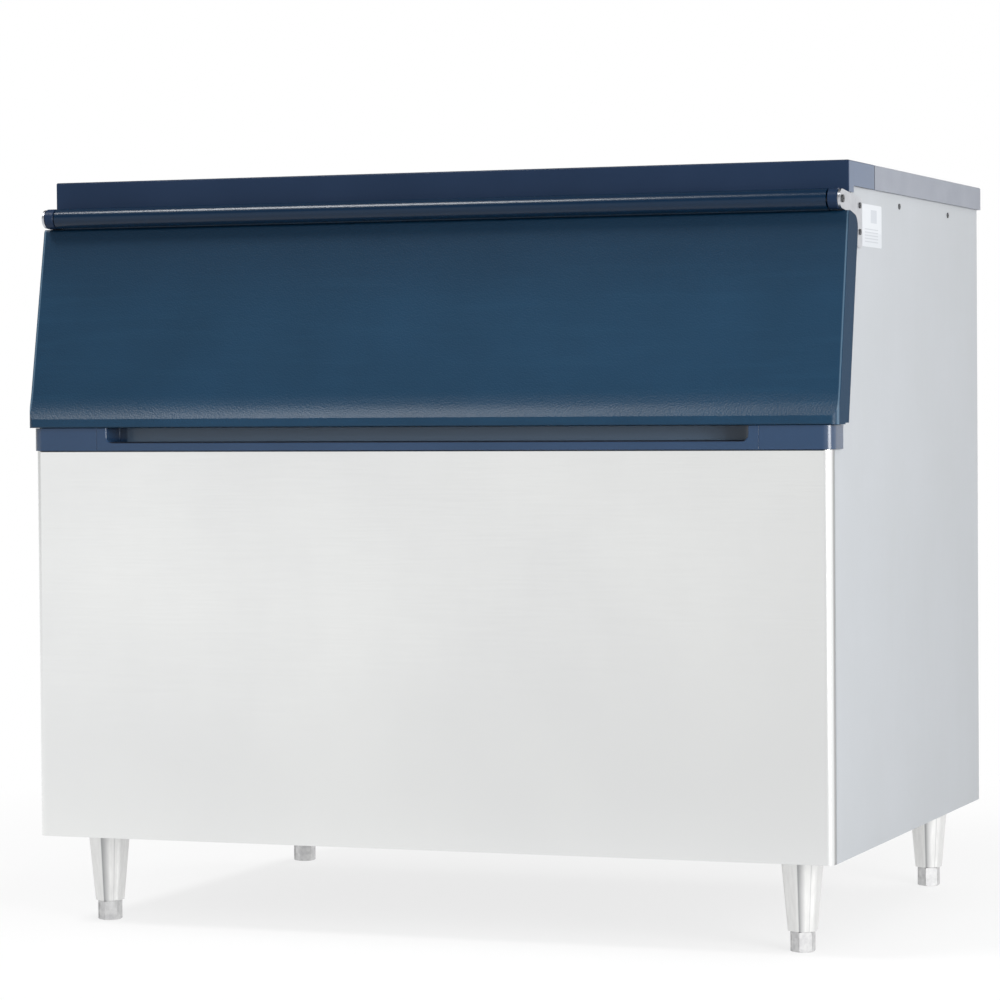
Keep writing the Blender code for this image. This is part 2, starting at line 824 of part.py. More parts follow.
def top_fascia():
    """Blue moulded cover over the header, open below and behind, with a deep front skirt."""
    front = depth(fascia_front_depth)
    rear = depth(fascia_front_depth + fascia_cover_depth)
    top = height(cabinet_height)
    dip = top - fascia_dip_height
    side = half_width + rail_side_overhang
    outline = [
        (front, dip),
        (depth(fascia_front_depth + fascia_dip_length), dip),
        (depth(fascia_front_depth + fascia_dip_length), height(rail_bottom)),
        (rear, height(rail_bottom)),
        (rear, top),
        (front, top),
    ]
    obj = outline_solid("top_fascia", outline, -side, side, SIDE)

    def visible_edge(first, second, normals):
        outer = [n for n in normals if n.z > 0.9 or n.y < -0.9 or abs(n.x) > 0.9]
        behind = any(n.y > 0.9 for n in normals)
        dip_step = any(n.z < -0.9 for n in normals)
        return len(outer) > 1 and not behind and not dip_step

    round_edges(obj, visible_edge, rail_edge_radius, 2)
    inner = side - rail_thickness
    hollow = [
        (front + rail_thickness, dip - overrun),
        (rear + overrun, dip - overrun),
        (rear + overrun, top - rail_thickness),
        (front + rail_thickness, top - rail_thickness),
    ]
    combine(obj, outline_solid("fascia_hollow", hollow, -inner, inner, SIDE, cutters), "DIFFERENCE")
    end = half_width - fascia_skirt_end_clear
    skirt = [
        (-end, top - fascia_skirt_height),
        (end, top - fascia_skirt_height),
        (end, top - rail_thickness / 2),
        (-end, top - rail_thickness / 2),
    ]
    tool = outline_solid("fascia_skirt", skirt, -front - rail_thickness, -front, FRONT, cutters)
    combine(obj, tool, "UNION")
    seat = height(top_flange_z) + top_flange_thickness + fit_gap
    seat_front = slope_at(cabinet_height, 0)[0]
    rib = [
        (front + rail_thickness / 2, top - rail_thickness / 2),
        (front + rail_thickness / 2, height(rail_bottom)),
        (seat_front, seat),
        (rear - rail_thickness, seat),
        (rear - rail_thickness, top - rail_thickness / 2),
    ]
    span = half_width - fascia_rib_end_inset
    for k in range(fascia_rib_count):
        x = -span + 2 * span * k / (fascia_rib_count - 1)
        low = x - fascia_rib_thickness / 2
        tool = outline_solid("fascia_rib", rib, low, low + fascia_rib_thickness, SIDE, cutters)
        combine(obj, tool, "UNION")
    show(obj, blue_smooth)


def flare_arc(y, z):
    """Points of the arc that leaves the door's face smoothly and ends at (y, z) on the lip."""
    u, w = slope_place(y, z)
    proud = w - door_face
    run = flare_start - u
    radius = (run * run + proud * proud) / (2 * proud)
    sweep = 2 * atan2(proud, run)
    turns = [sweep * k / arc_steps for k in range(arc_steps + 1)]
    return [slope_point(flare_start - radius * sin(t), door_face + radius * (1 - cos(t))) for t in turns]


def door_profile():
    """Side outline of the door shell: sloped face, flared lip, underside and rear edge."""
    lip_front = depth(-lip_reach)
    lip_bottom = height(sill_top) + lip_drop_clear
    lip_top = lip_bottom + lip_height
    pocket_rear = depth(pocket_depth)
    rim_bottom = lip_bottom + rear_rim_rise
    rear_low = slope_at(sill_top + lip_drop_clear + rear_rim_rise, -door_skirt_reach)
    corners = [
        (*slope_point(door_length, door_face), door_top_radius),
        *flare_arc(lip_front + lip_lean, lip_top),
        (lip_front, lip_bottom, lip_radius),
        (pocket_rear, lip_bottom),
        (pocket_rear, rim_bottom),
        rear_low,
        (*slope_point(door_length, -door_skirt_reach), door_rear_radius),
    ]
    return rounded(corners)


def door_space(shrink):
    """Side outline of the space for the door's foam, drawn in by a clearance."""
    wall = door_wall + shrink
    floor = sill_top + lip_drop_clear + pocket_height + wall
    back = door_stand_off + inner_pan_thickness + fit_gap
    face = door_face - wall
    top = door_length - wall
    return [slope_at(floor, back), slope_at(floor, face), slope_point(top, face), slope_point(top, back)]


def door_shell():
    """Blue moulded shell of the door with its hinge barrel, open at the back for the inner pan."""
    obj = outline_solid("door_shell", door_profile(), -door_half_width, door_half_width, SIDE)
    front = depth(-lip_reach) - fit_gap
    rear = depth(cabinet_depth)
    outline = rounded(
        [
            (-door_half_width, rear),
            (-door_half_width, front, door_corner_radius),
            (door_half_width, front, door_corner_radius),
            (door_half_width, rear),
        ]
    )
    low = height(sill_top) - overrun
    high = height(cabinet_height) + overrun
    combine(obj, outline_solid("door_plan", outline, low, high, PLAN, cutters), "INTERSECT")

    def crease(first, second, normals):
        upright = [n for n in normals if abs(n.z) < 0.1]
        face = [n for n in normals if n.z > 0.1 and n.y < -0.3]
        return len(upright) == 1 and len(face) == 1

    round_edges(settle(obj), crease, door_crease_radius)
    inner = door_half_width - door_wall
    past_top = door_length + overrun
    between = [(-inner, -overrun), (inner, -overrun), (inner, past_top), (-inner, past_top)]
    tool = outline_solid("between_skirts", between, -overrun, door_stand_off, SLOPE, cutters)
    combine(obj, tool, "DIFFERENCE")
    lip_bottom = height(sill_top) + lip_drop_clear
    lip_back = depth(lip_thickness - lip_reach)
    outline = rounded(
        [
            (-inner, depth(pocket_depth)),
            (-inner, lip_back, door_corner_radius - door_wall),
            (inner, lip_back, door_corner_radius - door_wall),
            (inner, depth(pocket_depth)),
        ]
    )
    pocket_top = lip_bottom + pocket_height
    tool = outline_solid("finger_pocket", outline, lip_bottom - overrun, pocket_top, PLAN, cutters)
    combine(obj, tool, "DIFFERENCE")
    pan_front = door_stand_off + inner_pan_thickness + fit_gap
    hollow = door_space(0)[:-1]
    hollow.append(slope_point(door_length - door_wall, -overrun))
    hollow.append(slope_point(inner_pan_edge, -overrun))
    hollow.append(slope_point(inner_pan_edge, pan_front))
    combine(obj, outline_solid("door_hollow", hollow, -inner, inner, SIDE, cutters), "DIFFERENCE")

    axis = along_x(depth(hinge_depth), height(hinge_height))
    web_side = hinge_half_length - web_end_inset
    root_front = slope_point(door_length - door_wall / 2, door_face - door_top_radius)
    root_rear = slope_point(door_length - door_wall / 2, door_face - door_thickness / 2)
    web = [
        (depth(hinge_depth + web_front_reach), height(hinge_height)),
        root_front,
        root_rear,
        (depth(hinge_depth + web_rear_reach), height(hinge_height) - barrel_radius / 2),
        (depth(hinge_depth), height(hinge_height) + barrel_bore_radius),
    ]
    combine(obj, outline_solid("hinge_web", web, -web_side, web_side, SIDE, cutters), "UNION")
    barrel = rod_between("hinge_barrel", barrel_radius, -hinge_half_length, hinge_half_length, axis, cutters)
    combine(obj, barrel, "UNION")
    reach = hinge_half_length + overrun
    bore = rod_between("barrel_bore", barrel_bore_radius, -reach, reach, axis, cutters)
    combine(obj, bore, "DIFFERENCE")
    show(obj, blue_plastic)


def door_inner_pan():
    """White formed sheet on the back of the door, with a raised plug that fills the opening."""
    side = door_half_width - door_wall - fit_gap
    low = inner_pan_edge + fit_gap
    high = door_length - door_wall - fit_gap
    outline = [(-side, low), (side, low), (side, high), (-side, high)]
    front = door_stand_off + inner_pan_thickness
    obj = outline_solid("door_inner_pan", outline, door_stand_off, front, SLOPE)
    combine(obj, plug_solid("pan_plug", 0), "UNION")
    combine(obj, plug_solid("pan_plug_hollow", inner_pan_thickness), "DIFFERENCE")
    show(obj, white_liner)


def plug_solid(name, wall):
    """The raised plug of the inner pan: a tapered block drawn in by a wall."""
    side = cavity_half_width - plug_side_clear
    low = opening_bottom_rise / cos(front_slope) + plug_end_clear
    high = (opening_top - sill_top) / cos(front_slope) - plug_end_clear
    base = door_stand_off + inner_pan_thickness / 2
    if wall:
        base = door_stand_off + inner_pan_thickness + door_thickness / 3
    tip = door_stand_off - plug_reach + wall
    outline = [
        (-side + wall, low + wall),
        (side - wall, low + wall),
        (side - wall, high - wall),
        (-side + wall, high - wall),
    ]
    obj = outline_solid(name, outline, tip, base, PLAN, cutters)

    def taper(bm):
        for vert in bm.verts:
            if vert.co.z < (tip + base) / 2:
                vert.co.x -= plug_draft if vert.co.x > 0 else -plug_draft
                vert.co.y -= plug_draft if vert.co.y > (low + high) / 2 else -plug_draft
        bmesh.ops.transform(bm, verts=bm.verts, matrix=SLOPE)
        bmesh.ops.recalc_face_normals(bm, faces=bm.faces)

    edit(obj, taper)
    return obj


def door_foam():
    """Insulation inside the door and its plug."""
    side = door_half_width - door_wall - fit_gap
    obj = outline_solid("door_foam", door_space(fit_gap), -side, side, SIDE)
    combine(obj, plug_solid("foam_plug", inner_pan_thickness + fit_gap), "UNION")
    show(obj, foam_yellow)


def door_gasket():
    """Rubber seal round the plug, between the inner pan and the frame."""
    side = door_half_width - door_wall - gasket_side_inset
    low = gasket_end_inset
    high = door_length - door_wall - gasket_end_inset
    ring = []
    for drawn_in in (0, gasket_width):
        radius = gasket_radius + gasket_width - drawn_in
        corners = [
            (-side + drawn_in, low + drawn_in, radius),
            (side - drawn_in, low + drawn_in, radius),
            (side - drawn_in, high - drawn_in, radius),
            (-side + drawn_in, high - drawn_in, radius),
        ]
        ring.append(rounded(corners))
    top = door_stand_off - fit_gap
    obj = outline_solid("door_gasket", ring[0], fit_gap, top, SLOPE, holes=(ring[1],))
    show(obj, grey_rubber)


def hinge():
    """Hinge rod, end bushes, brackets and pivot screws."""
    axis = along_x(depth(hinge_depth), height(hinge_height))
    end = half_width - fit_gap
    tap = end - rod_tap_depth
    profile = [
        (0, tap),
        (rod_tap_radius, tap),
        (rod_tap_radius, end),
        (rod_radius, end),
        (rod_radius, -end),
        (rod_tap_radius, -end),
        (rod_tap_radius, -tap),
        (0, -tap),
    ]
    show(turned("hinge_rod", profile, axis), plated_steel)
    inner = hinge_half_length + bush_gap
    bore = rod_radius + bush_bore_clear
    lip = rail_edge_radius / 2
    profile = [
        (bore, end),
        (barrel_radius - lip, end),
        (barrel_radius, end - lip),
        (barrel_radius, inner + lip),
        (barrel_radius - lip, inner),
        (bore, inner),
    ]
    both_hands(turned("hinge_bush_right", profile, axis), "hinge_bush", blue_smooth)
    both_hands(bracket(), "hinge_bracket", plated_steel)
    head = plate_outer + fit_gap
    dome = pivot_head_height / 3
    profile = [
        (0, head + pivot_head_height),
        (pivot_head_radius - dome, head + pivot_head_height),
        (pivot_head_radius, head + pivot_head_height - dome),
        (pivot_head_radius, head),
        (pivot_shank_radius, head),
        (pivot_shank_radius, head - pivot_shank_length),
        (0, head - pivot_shank_length),
    ]
    both_hands(turned("pivot_screw_right", profile, axis), "pivot_screw", screw_steel)


def bracket():
    """Plate that carries the pivot ahead of the side panel: a nose, an arm and a strip."""
    y = depth(hinge_depth)
    z = height(hinge_height)
    strip_front = depth(bracket_rear_depth - bracket_strip_width)
    rear = depth(bracket_rear_depth)
    foot = z - bracket_strip_drop
    nose = [radians(a) for a in range(265, 84, -15)]
    outline = [(y + bracket_nose_radius * cos(a), z + bracket_nose_radius * sin(a)) for a in nose]
    arm = [
        outline[-1],
        (rear, z + bracket_arm_rise, bracket_corner_radius),
        (rear, foot, bracket_corner_radius),
        (strip_front, foot, bracket_corner_radius),
        (strip_front, z - bracket_arm_drop, bracket_inner_radius),
        outline[0],
    ]
    outline = outline + rounded(arm)[1:-1]
    holes = [circle(y, z, pivot_shank_radius + fit_gap)]
    for drop in (bracket_screw_upper_drop, bracket_screw_lower_drop):
        holes.append(circle(depth(bracket_screw_depth), z - drop, screw_hole_radius))
    return outline_solid("hinge_bracket_right", outline, plate_inner, plate_outer, SIDE, holes=holes)


def pan_head_profile(seat):
    """Profile of a small pan-head screw whose head rests at seat and whose shank goes down."""
    dome = screw_head_height / 3
    return [
        (0, seat + screw_head_height),
        (screw_head_radius - dome, seat + screw_head_height),
        (screw_head_radius, seat + screw_head_height - dome),
        (screw_head_radius, seat),
        (screw_shank_radius, seat),
        (screw_shank_radius, half_width - screw_length),
        (0, half_width - screw_length),
    ]


def side_screws():
    """Two screws in each bracket, and two through each side panel under the rail."""
    names = ("bracket_screw_upper", "bracket_screw_lower", "side_screw_front", "side_screw_rear")
    for name, (d, h) in zip(names, side_screw_places()):
        seat = plate_outer if name.startswith("bracket") else half_width
        place = along_x(depth(d), height(h))
        obj = turned(name + "_right", pan_head_profile(seat + fit_gap), place, steps=small_round_steps)
        both_hands(obj, name, screw_steel)


def ice_baffle():
    """Hanging plate behind the door opening, with a hemmed foot, on two screws."""
    front = depth(header_depth) + fit_gap
    rear = front + baffle_thickness
    top = height(cabinet_height - baffle_top_clear)
    foot = height(opening_top - baffle_drop)
    outline = rounded(
        [
            (front, top),
            (front, foot, baffle_bend_radius + baffle_thickness),
            (rear + baffle_hem, foot),
            (rear + baffle_hem, foot + baffle_thickness),
            (rear, foot + baffle_thickness, baffle_bend_radius),
            (rear, top),
        ]
    )
    side = cavity_half_width - baffle_side_clear
    obj = outline_solid("ice_baffle", outline, -side, side, SIDE)
    z = height(baffle_screw_height)
    for x in (-baffle_screw_offset, baffle_screw_offset):
        hole = circle(x, z, screw_hole_radius)
        tool = outline_solid("baffle_hole", hole, -rear - overrun, overrun - front, FRONT, cutters)
        combine(obj, tool, "DIFFERENCE")
    show(obj, white_liner)
    seat = rear + fit_gap
    tip = depth(header_depth) - screw_length
    dome = screw_head_height / 3
    profile = [
        (0, seat + screw_head_height),
        (screw_head_radius - dome, seat + screw_head_height),
        (screw_head_radius, seat + screw_head_height - dome),
        (screw_head_radius, seat),
        (screw_shank_radius, seat),
        (screw_shank_radius, tip),
        (0, tip),
    ]
    for side_name, x in (("left", -baffle_screw_offset), ("right", baffle_screw_offset)):
        place = Matrix.Translation((x, 0, z)) @ Matrix.Rotation(-pi / 2, 4, "X")
        obj = turned("baffle_screw_" + side_name, profile, place, steps=small_round_steps)
        show(obj, screw_steel)


def drain():
    """Drain fitting through the floor, its nut under the base pan, and the strainer."""
    place = upright(0, depth(drain_depth))
    seat = height(drain_floor)
    top = seat + drain_flange_thickness
    ledge = top - drain_seat_depth
    tail = base_z - drain_tail
    profile = [
        (drain_seat_radius, top),
        (drain_flange_radius - drain_seat_depth, top),
        (drain_flange_radius, seat + drain_seat_depth),
        (drain_flange_radius, seat),
        (drain_tube_radius, seat),
        (drain_tube_radius, tail),
        (drain_bore_radius, tail),
        (drain_bore_radius, ledge),
        (drain_seat_radius, ledge),
    ]
    show(turned("drain_fitting", profile, place), drain_plastic)
    high = base_z + sheet
    outline = circle(0, depth(drain_depth), drain_nut_radius, 6)
    hole = circle(0, depth(drain_depth), drain_tube_radius + fit_gap, round_steps)
    obj = outline_solid("drain_nut", outline, high - drain_nut_height, high, PLAN, holes=(hole,))
    show(obj, drain_plastic)
    outline = circle(0, depth(drain_depth), drain_seat_radius - 2 * fit_gap, round_steps)
    holes = [circle(0, depth(drain_depth), strainer_hole_radius)]
    for ring in (1, 2):
        for k in range(strainer_hole_count * ring):
            turn = 2 * pi * k / (strainer_hole_count * ring)
            x = strainer_ring_radius * ring * cos(turn)
            y = depth(drain_depth) + strainer_ring_radius * ring * sin(turn)
            holes.append(circle(x, y, strainer_hole_radius, hole_steps))
    low = ledge + fit_gap
    obj = outline_solid("drain_strainer", outline, low, low + drain_seat_depth, PLAN, holes=holes)
    show(obj, plated_steel)


def leg(corner, x, y):
    """One leg: mounting plate, tapered body and hexagonal screw foot."""
    place = upright(x, y)
    half = leg_plate_size / 2
    radius = leg_plate_radius
    corners = [(x - half, y - half), (x + half, y - half), (x + half, y + half), (x - half, y + half)]
    outline = rounded([(a, b, radius) for a, b in corners])
    hole = circle(x, y, leg_stud_radius + fit_gap)
    plate_low = leg_top_z + fit_gap
    plate_high = plate_low + leg_plate_thickness
    obj = outline_solid("leg_plate_" + corner, outline, plate_low, plate_high, PLAN, holes=(hole,))
    show(obj, plated_steel)

    low = foot_height + fit_gap
    outline = rounded([(a, b, leg_corner_radius) for a, b in polygon(x, y, leg_top_radius, leg_sides)])
    obj = outline_solid("leg_" + corner, outline, low, leg_top_z, PLAN)
    share = leg_bottom_radius / leg_top_radius

    def taper(bm):
        for vert in bm.verts:
            if vert.co.z < leg_top_z - leg_body_height / 2:
                vert.co.x = x + (vert.co.x - x) * share
                vert.co.y = y + (vert.co.y - y) * share

    edit(obj, taper)
    stud_top = plate_high - leg_stud_clear
    stud = rod_between("leg_stud", leg_stud_radius, leg_top_z - leg_stud_radius, stud_top, place, cutters)
    combine(obj, stud, "UNION")
    bore = rod_between("leg_bore", leg_bore_radius, low - overrun, low + leg_bore_depth, place, cutters)
    combine(obj, bore, "DIFFERENCE")
    show(obj, cast_nickel)

    outline = polygon(x, y, foot_corner_radius, leg_sides)
    obj = outline_solid("foot_" + corner, outline, 0, foot_height, PLAN)
    profile = [
        (0, foot_height),
        (foot_face_radius, foot_height),
        (foot_corner_radius + foot_chamfer, foot_height - foot_chamfer),
        (foot_corner_radius + foot_chamfer, foot_chamfer),
        (foot_face_radius, 0),
        (0, 0),
    ]
    combine(obj, turned("foot_chamfer", profile, place, cutters), "INTERSECT")
    stud = rod_between(
        "foot_stud", foot_stud_radius, foot_height / 2, foot_height + foot_stud_height, place, cutters
    )
    combine(obj, stud, "UNION")
    show(obj, cast_nickel)


def legs():
    """Four legs, set in from the sides, the front and the back."""
    front = depth(leg_front_inset)
    rear = depth(cabinet_depth - leg_rear_inset)
    leg("front_left", -leg_x, front)
    leg("front_right", leg_x, front)
    leg("rear_left", -leg_x, rear)
    leg("rear_right", leg_x, rear)


screw_bores = side_screw_bores()
baffle_bores = baffle_screw_bores()
front_panel()
side_panels(screw_bores)
back_panel()
base_pan()
liner(baffle_bores)
foam(screw_bores, baffle_bores)
sill()
top_rail()
top_fascia()
door_shell()
door_inner_pan()
door_foam()
door_gasket()
hinge()
side_screws()
ice_baffle()
drain()
legs()
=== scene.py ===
import json
from math import cos, pi, radians, sin

import bpy
from mathutils import Matrix, Vector

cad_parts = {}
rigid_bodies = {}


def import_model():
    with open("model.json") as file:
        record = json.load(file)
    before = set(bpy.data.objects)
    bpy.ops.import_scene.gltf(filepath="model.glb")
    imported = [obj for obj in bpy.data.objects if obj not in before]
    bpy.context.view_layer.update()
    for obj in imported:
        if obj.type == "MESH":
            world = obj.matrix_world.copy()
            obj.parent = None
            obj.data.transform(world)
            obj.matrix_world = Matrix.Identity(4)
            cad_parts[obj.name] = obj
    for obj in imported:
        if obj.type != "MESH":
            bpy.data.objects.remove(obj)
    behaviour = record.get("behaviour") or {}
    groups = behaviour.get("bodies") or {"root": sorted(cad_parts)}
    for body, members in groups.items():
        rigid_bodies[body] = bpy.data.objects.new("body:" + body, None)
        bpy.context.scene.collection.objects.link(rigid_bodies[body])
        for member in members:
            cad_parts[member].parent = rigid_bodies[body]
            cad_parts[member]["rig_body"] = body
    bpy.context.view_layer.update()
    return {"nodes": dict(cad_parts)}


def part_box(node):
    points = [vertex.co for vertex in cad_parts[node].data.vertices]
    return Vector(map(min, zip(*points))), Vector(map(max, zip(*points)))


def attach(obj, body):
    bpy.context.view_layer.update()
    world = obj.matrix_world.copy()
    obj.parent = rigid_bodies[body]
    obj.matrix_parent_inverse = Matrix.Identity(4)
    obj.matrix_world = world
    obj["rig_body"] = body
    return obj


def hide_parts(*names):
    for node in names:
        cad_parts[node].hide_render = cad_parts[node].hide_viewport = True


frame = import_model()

nodes = frame["nodes"]

# Front panel
# One sheet of satin stainless, brushed sideways and then folded round both front corners. Its top
# edge is bent over a small radius under the sill, and hands have left it faintly cloudy.


class Tone:
    """A value or colour that changes over a finish. Sums on values add Math nodes."""

    def __init__(self, tree, socket=None):
        self.tree = tree
        self.socket = socket

    def node(self, kind, settings=None, inputs=None, output=0):
        """Adds a node: its type, its settings, and the values or links of its sockets."""
        made = self.tree.nodes.new("ShaderNode" + kind)
        for name, value in (settings or {}).items():
            setattr(made, name, value)
        for name, value in (inputs or {}).items():
            if isinstance(value, Tone):
                self.tree.links.new(value.socket, made.inputs[name])
            else:
                made.inputs[name].default_value = value
        return Tone(self.tree, made.outputs[output] if len(made.outputs) else None)

    def maths(self, operation, first, second=0.0):
        return self.node("Math", {"operation": operation}, {0: first, 1: second})

    def __add__(self, other):
        return self.maths("ADD", self, other)

    def __sub__(self, other):
        return self.maths("SUBTRACT", self, other)

    def __rsub__(self, other):
        return self.maths("SUBTRACT", other, self)

    def __mul__(self, other):
        return self.maths("MULTIPLY", self, other)

    __radd__ = __add__
    __rmul__ = __mul__

    def between(self, low, high):
        """0 below low, 1 above high."""
        return self.node("MapRange", {}, {"Value": self, "From Min": low, "From Max": high})

    def band(self, start, full, fading, gone):
        """0 up to start, 1 from full to fading, and 0 again from gone on."""
        return self.between(start, full) * (1.0 - self.between(fading, gone))

    def blend(self, first, second):
        """A colour: first where this value is 0, second where it is 1."""
        return self.node("Mix", {"data_type": "RGBA"}, {0: self, 6: first, 7: second}, 2)

    def placed(self, scale, move=(0.0, 0.0, 0.0)):
        """Coordinates scaled and then moved."""
        return self.node("Mapping", {}, {"Vector": self, "Scale": scale, "Location": move})

    def clouds(self, size, detail=3.0, stretch=(1.0, 1.0, 1.0), rough=0.5):
        """Noise from 0 to 1 with blotches of about this size in metres, drawn out by stretch."""
        spot = self.placed(tuple(1 / (size * s) for s in stretch))
        inputs = {"Vector": spot, "Scale": 1.0, "Detail": detail, "Roughness": rough}
        return self.node("TexNoise", {}, inputs)

    def cells(self, size):
        """Distance from the middle of rounded cells of about this size in metres."""
        return self.node("TexVoronoi", {}, {"Vector": self, "Scale": 1 / size})

    def along(self, axis):
        return self.node("SeparateXYZ", {}, {0: self}, "XYZ".index(axis))


def paint(red, green, blue):
    """A colour as it is read off a screen, 0 to 255, for a shader."""
    parts = []
    for value in (red, green, blue):
        value /= 255
        parts.append(value / 12.92 if value <= 0.04045 else ((value + 0.055) / 1.055) ** 2.4)
    return (*parts, 1.0)


class Finish:
    """A material with one Principled shader. Numbers are constants of the shader itself."""

    def __init__(self, name, colour, roughness, metallic=0.0, specular=0.5, coat=0.0):
        self.material = bpy.data.materials.new(name)
        self.material.use_nodes = True
        self.tree = self.material.node_tree
        self.shader = self.tree.nodes["Principled BSDF"]
        constants = {
            "Base Color": colour,
            "Roughness": roughness,
            "Metallic": metallic,
            "Specular IOR Level": specular,
            "Coat Weight": coat,
        }
        for socket, value in constants.items():
            self.shader.inputs[socket].default_value = value
        self.material.diffuse_color = colour
        self.place = Tone(self.tree).node("TexCoord", output="Object")

    def vary(self, socket, tone):
        self.tree.links.new(tone.socket, self.shader.inputs[socket])

    def relief(self, *layers):
        """Bumps, each a height from 0 to 1 and its depth in metres, laid over each other."""
        normal = None
        for height, depth in layers:
            inputs = {"Height": height, "Distance": depth, "Strength": 1.0}
            if normal:
                inputs["Normal"] = normal
            normal = self.place.node("Bump", {}, inputs)
        self.vary("Normal", normal)


def select_edges(piece, chosen):
    """Edit mode, with the edges selected that chosen(first, second, side normals) picks."""
    mesh = piece.data
    sides = {}
    for face in mesh.polygons:
        for key in face.edge_keys:
            sides.setdefault(key, []).append(face.normal.copy())
    for part in (*mesh.vertices, *mesh.polygons):
        part.select = False
    for edge in mesh.edges:
        first, second = (mesh.vertices[i].co for i in edge.vertices)
        edge.select = bool(chosen(first, second, sides.get(edge.key, [])))
        if edge.select:
            for i in edge.vertices:
                mesh.vertices[i].select = True
    bpy.context.tool_settings.mesh_select_mode = (False, True, False)
    bpy.ops.object.mode_set(mode="EDIT")


def cut_away(piece, cutter):
    """Takes the cutter's shape out of the piece and removes the cutter."""
    bpy.context.view_layer.objects.active = piece
    cut = piece.modifiers.new("Cut", "BOOLEAN")
    cut.operation = "DIFFERENCE"
    cut.object = cutter
    bpy.ops.object.modifier_apply(modifier=cut.name)
    bpy.data.objects.remove(cutter, do_unlink=True)


def softened(node, finish, width=0.0, corner=32, steps=2, bends=None, bend_radius=0.0, cutters=()):
    """A CAD node's piece with its sharp corners eased.

    bends picks edges that get a wider bend. Each cutter's shape is taken out first."""
    bpy.ops.object.select_all(action="DESELECT")
    bpy.context.view_layer.objects.active = nodes[node]
    nodes[node].select_set(True)
    bpy.ops.object.duplicate(linked=False)
    piece = bpy.context.view_layer.objects.active
    for key in list(piece.keys()):
        del piece[key]
    piece.parent = None
    piece.matrix_world = Matrix.Identity(4)
    piece.name = piece.data.name = node + "_eased"
    bpy.ops.object.mode_set(mode="EDIT")
    bpy.ops.mesh.select_all(action="SELECT")
    bpy.ops.mesh.remove_doubles(threshold=0.00001)
    bpy.ops.mesh.dissolve_limited(angle_limit=radians(0.3))
    bpy.ops.object.mode_set(mode="OBJECT")
    for cutter in cutters:
        cut_away(piece, cutter)
    if bends:
        select_edges(piece, bends)
        bpy.ops.mesh.bevel(offset=bend_radius, segments=6, profile=0.5, affect="EDGES")
        bpy.ops.object.mode_set(mode="OBJECT")
    if width:
        ease = piece.modifiers.new("Eased edges", "BEVEL")
        ease.width = width
        ease.segments = steps
        ease.limit_method = "ANGLE"
        ease.angle_limit = radians(corner)
        bpy.ops.object.modifier_apply(modifier=ease.name)
    bpy.ops.object.shade_smooth_by_angle(angle=radians(corner))
    level = piece.modifiers.new("Level flats", "WEIGHTED_NORMAL")
    level.keep_sharp = True
    level.weight = 100
    bpy.ops.object.modifier_apply(modifier=level.name)
    piece.data.materials.clear()
    piece.data.materials.append(finish.material)
    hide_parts(node)
    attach(piece, nodes[node]["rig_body"])
    return piece


panel_low, panel_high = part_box("front_panel")
top_bend = 0.0016
seam_line = 0.009
square_on = 0.9
satin = Finish("satin stainless", paint(230, 231, 230), 0.24, metallic=1.0)
brushing = satin.place.clouds(0.0011, 2.0, (60.0, 60.0, 1.0))
clouding = satin.place.clouds(0.40, 2.0)
handled = satin.place.clouds(0.03, 4.0, (1.0, 1.0, 1.6))
# A dark line is painted along the rear edge of the sheet's side return. The real joint there is far
# thinner, and the line stands for its shade and a dark reflection in the rounded corner.
painted_seam_shade = satin.place.along("Y").between(panel_high[1] - seam_line, panel_high[1] - seam_line / 2)
sheet_tone = clouding.between(0.3, 0.7).blend(paint(238, 239, 238), paint(232, 233, 233))
satin.vary("Base Color", (painted_seam_shade * 0.75).blend(sheet_tone, paint(120, 120, 122)))
satin.vary("Roughness", 0.16 + 0.08 * brushing + 0.04 * clouding + 0.04 * handled)
satin.relief((brushing, 0.000010), (handled, 0.000010))


def top_front_bend(first, second, normals):
    high = min(first[2], second[2]) > panel_high[2] - top_bend
    in_front = max(first[1], second[1]) < panel_low[1] + top_bend / 2
    on_top = any(normal[2] > square_on for normal in normals)
    return high and in_front and on_top and any(normal[1] < -square_on for normal in normals)


front = softened("front_panel", satin, corner=40, bends=top_front_bend, bend_radius=top_bend)

# Side and back panels
# Thin coated steel sheets, cool grey and silky, with the roller marks of their coating running
# up and down. The base pan is the same sheet, with dust on it.


def from_edge(edge, *steps):
    """Places at these distances in metres from an edge."""
    return [edge + step for step in steps]


coated = Finish("coated grey sheet", paint(196, 200, 205), 0.45, metallic=0.1, specular=0.4)
rolling = coated.place.clouds(0.004, 2.0, (1.0, 1.0, 40.0))
mottle = coated.place.clouds(0.16, 3.0)
skin = coated.place.clouds(0.0008, 2.0)
side_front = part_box("side_panel_right")[0][1]
joint_shade = 1.0 - coated.place.along("Y").between(*from_edge(side_front, 0.002, 0.005))
sheet_tone = mottle.between(0.2, 0.8).blend(paint(189, 193, 198), paint(185, 189, 193))
coated.vary("Base Color", (0.5 * joint_shade).blend(sheet_tone, paint(96, 98, 102)))
coated.vary("Roughness", 0.40 + 0.08 * rolling + 0.05 * skin)
coated.relief((rolling, 0.000010), (skin, 0.000015))
for name in ("side_panel_left", "side_panel_right", "back_panel"):
    softened(name, coated, corner=40)

dusty = Finish("coated grey sheet with dust", paint(190, 193, 196), 0.5, metallic=0.2, specular=0.4)
dust = dusty.place.clouds(0.05, 5.0, rough=0.6)
dusty.vary("Base Color", dust.between(0.35, 0.7).blend(paint(196, 199, 202), paint(176, 176, 173)))
dusty.vary("Roughness", 0.40 + 0.25 * dust)
dusty.relief((dusty.place.clouds(0.0008, 2.0), 0.000015))
softened("base_pan", dusty, corner=40)

# Liner
# The tub is moulded in one piece from white food-grade plastic, with a faint orange-peel skin.
# Scoops and ice have scuffed its floor and lower walls.

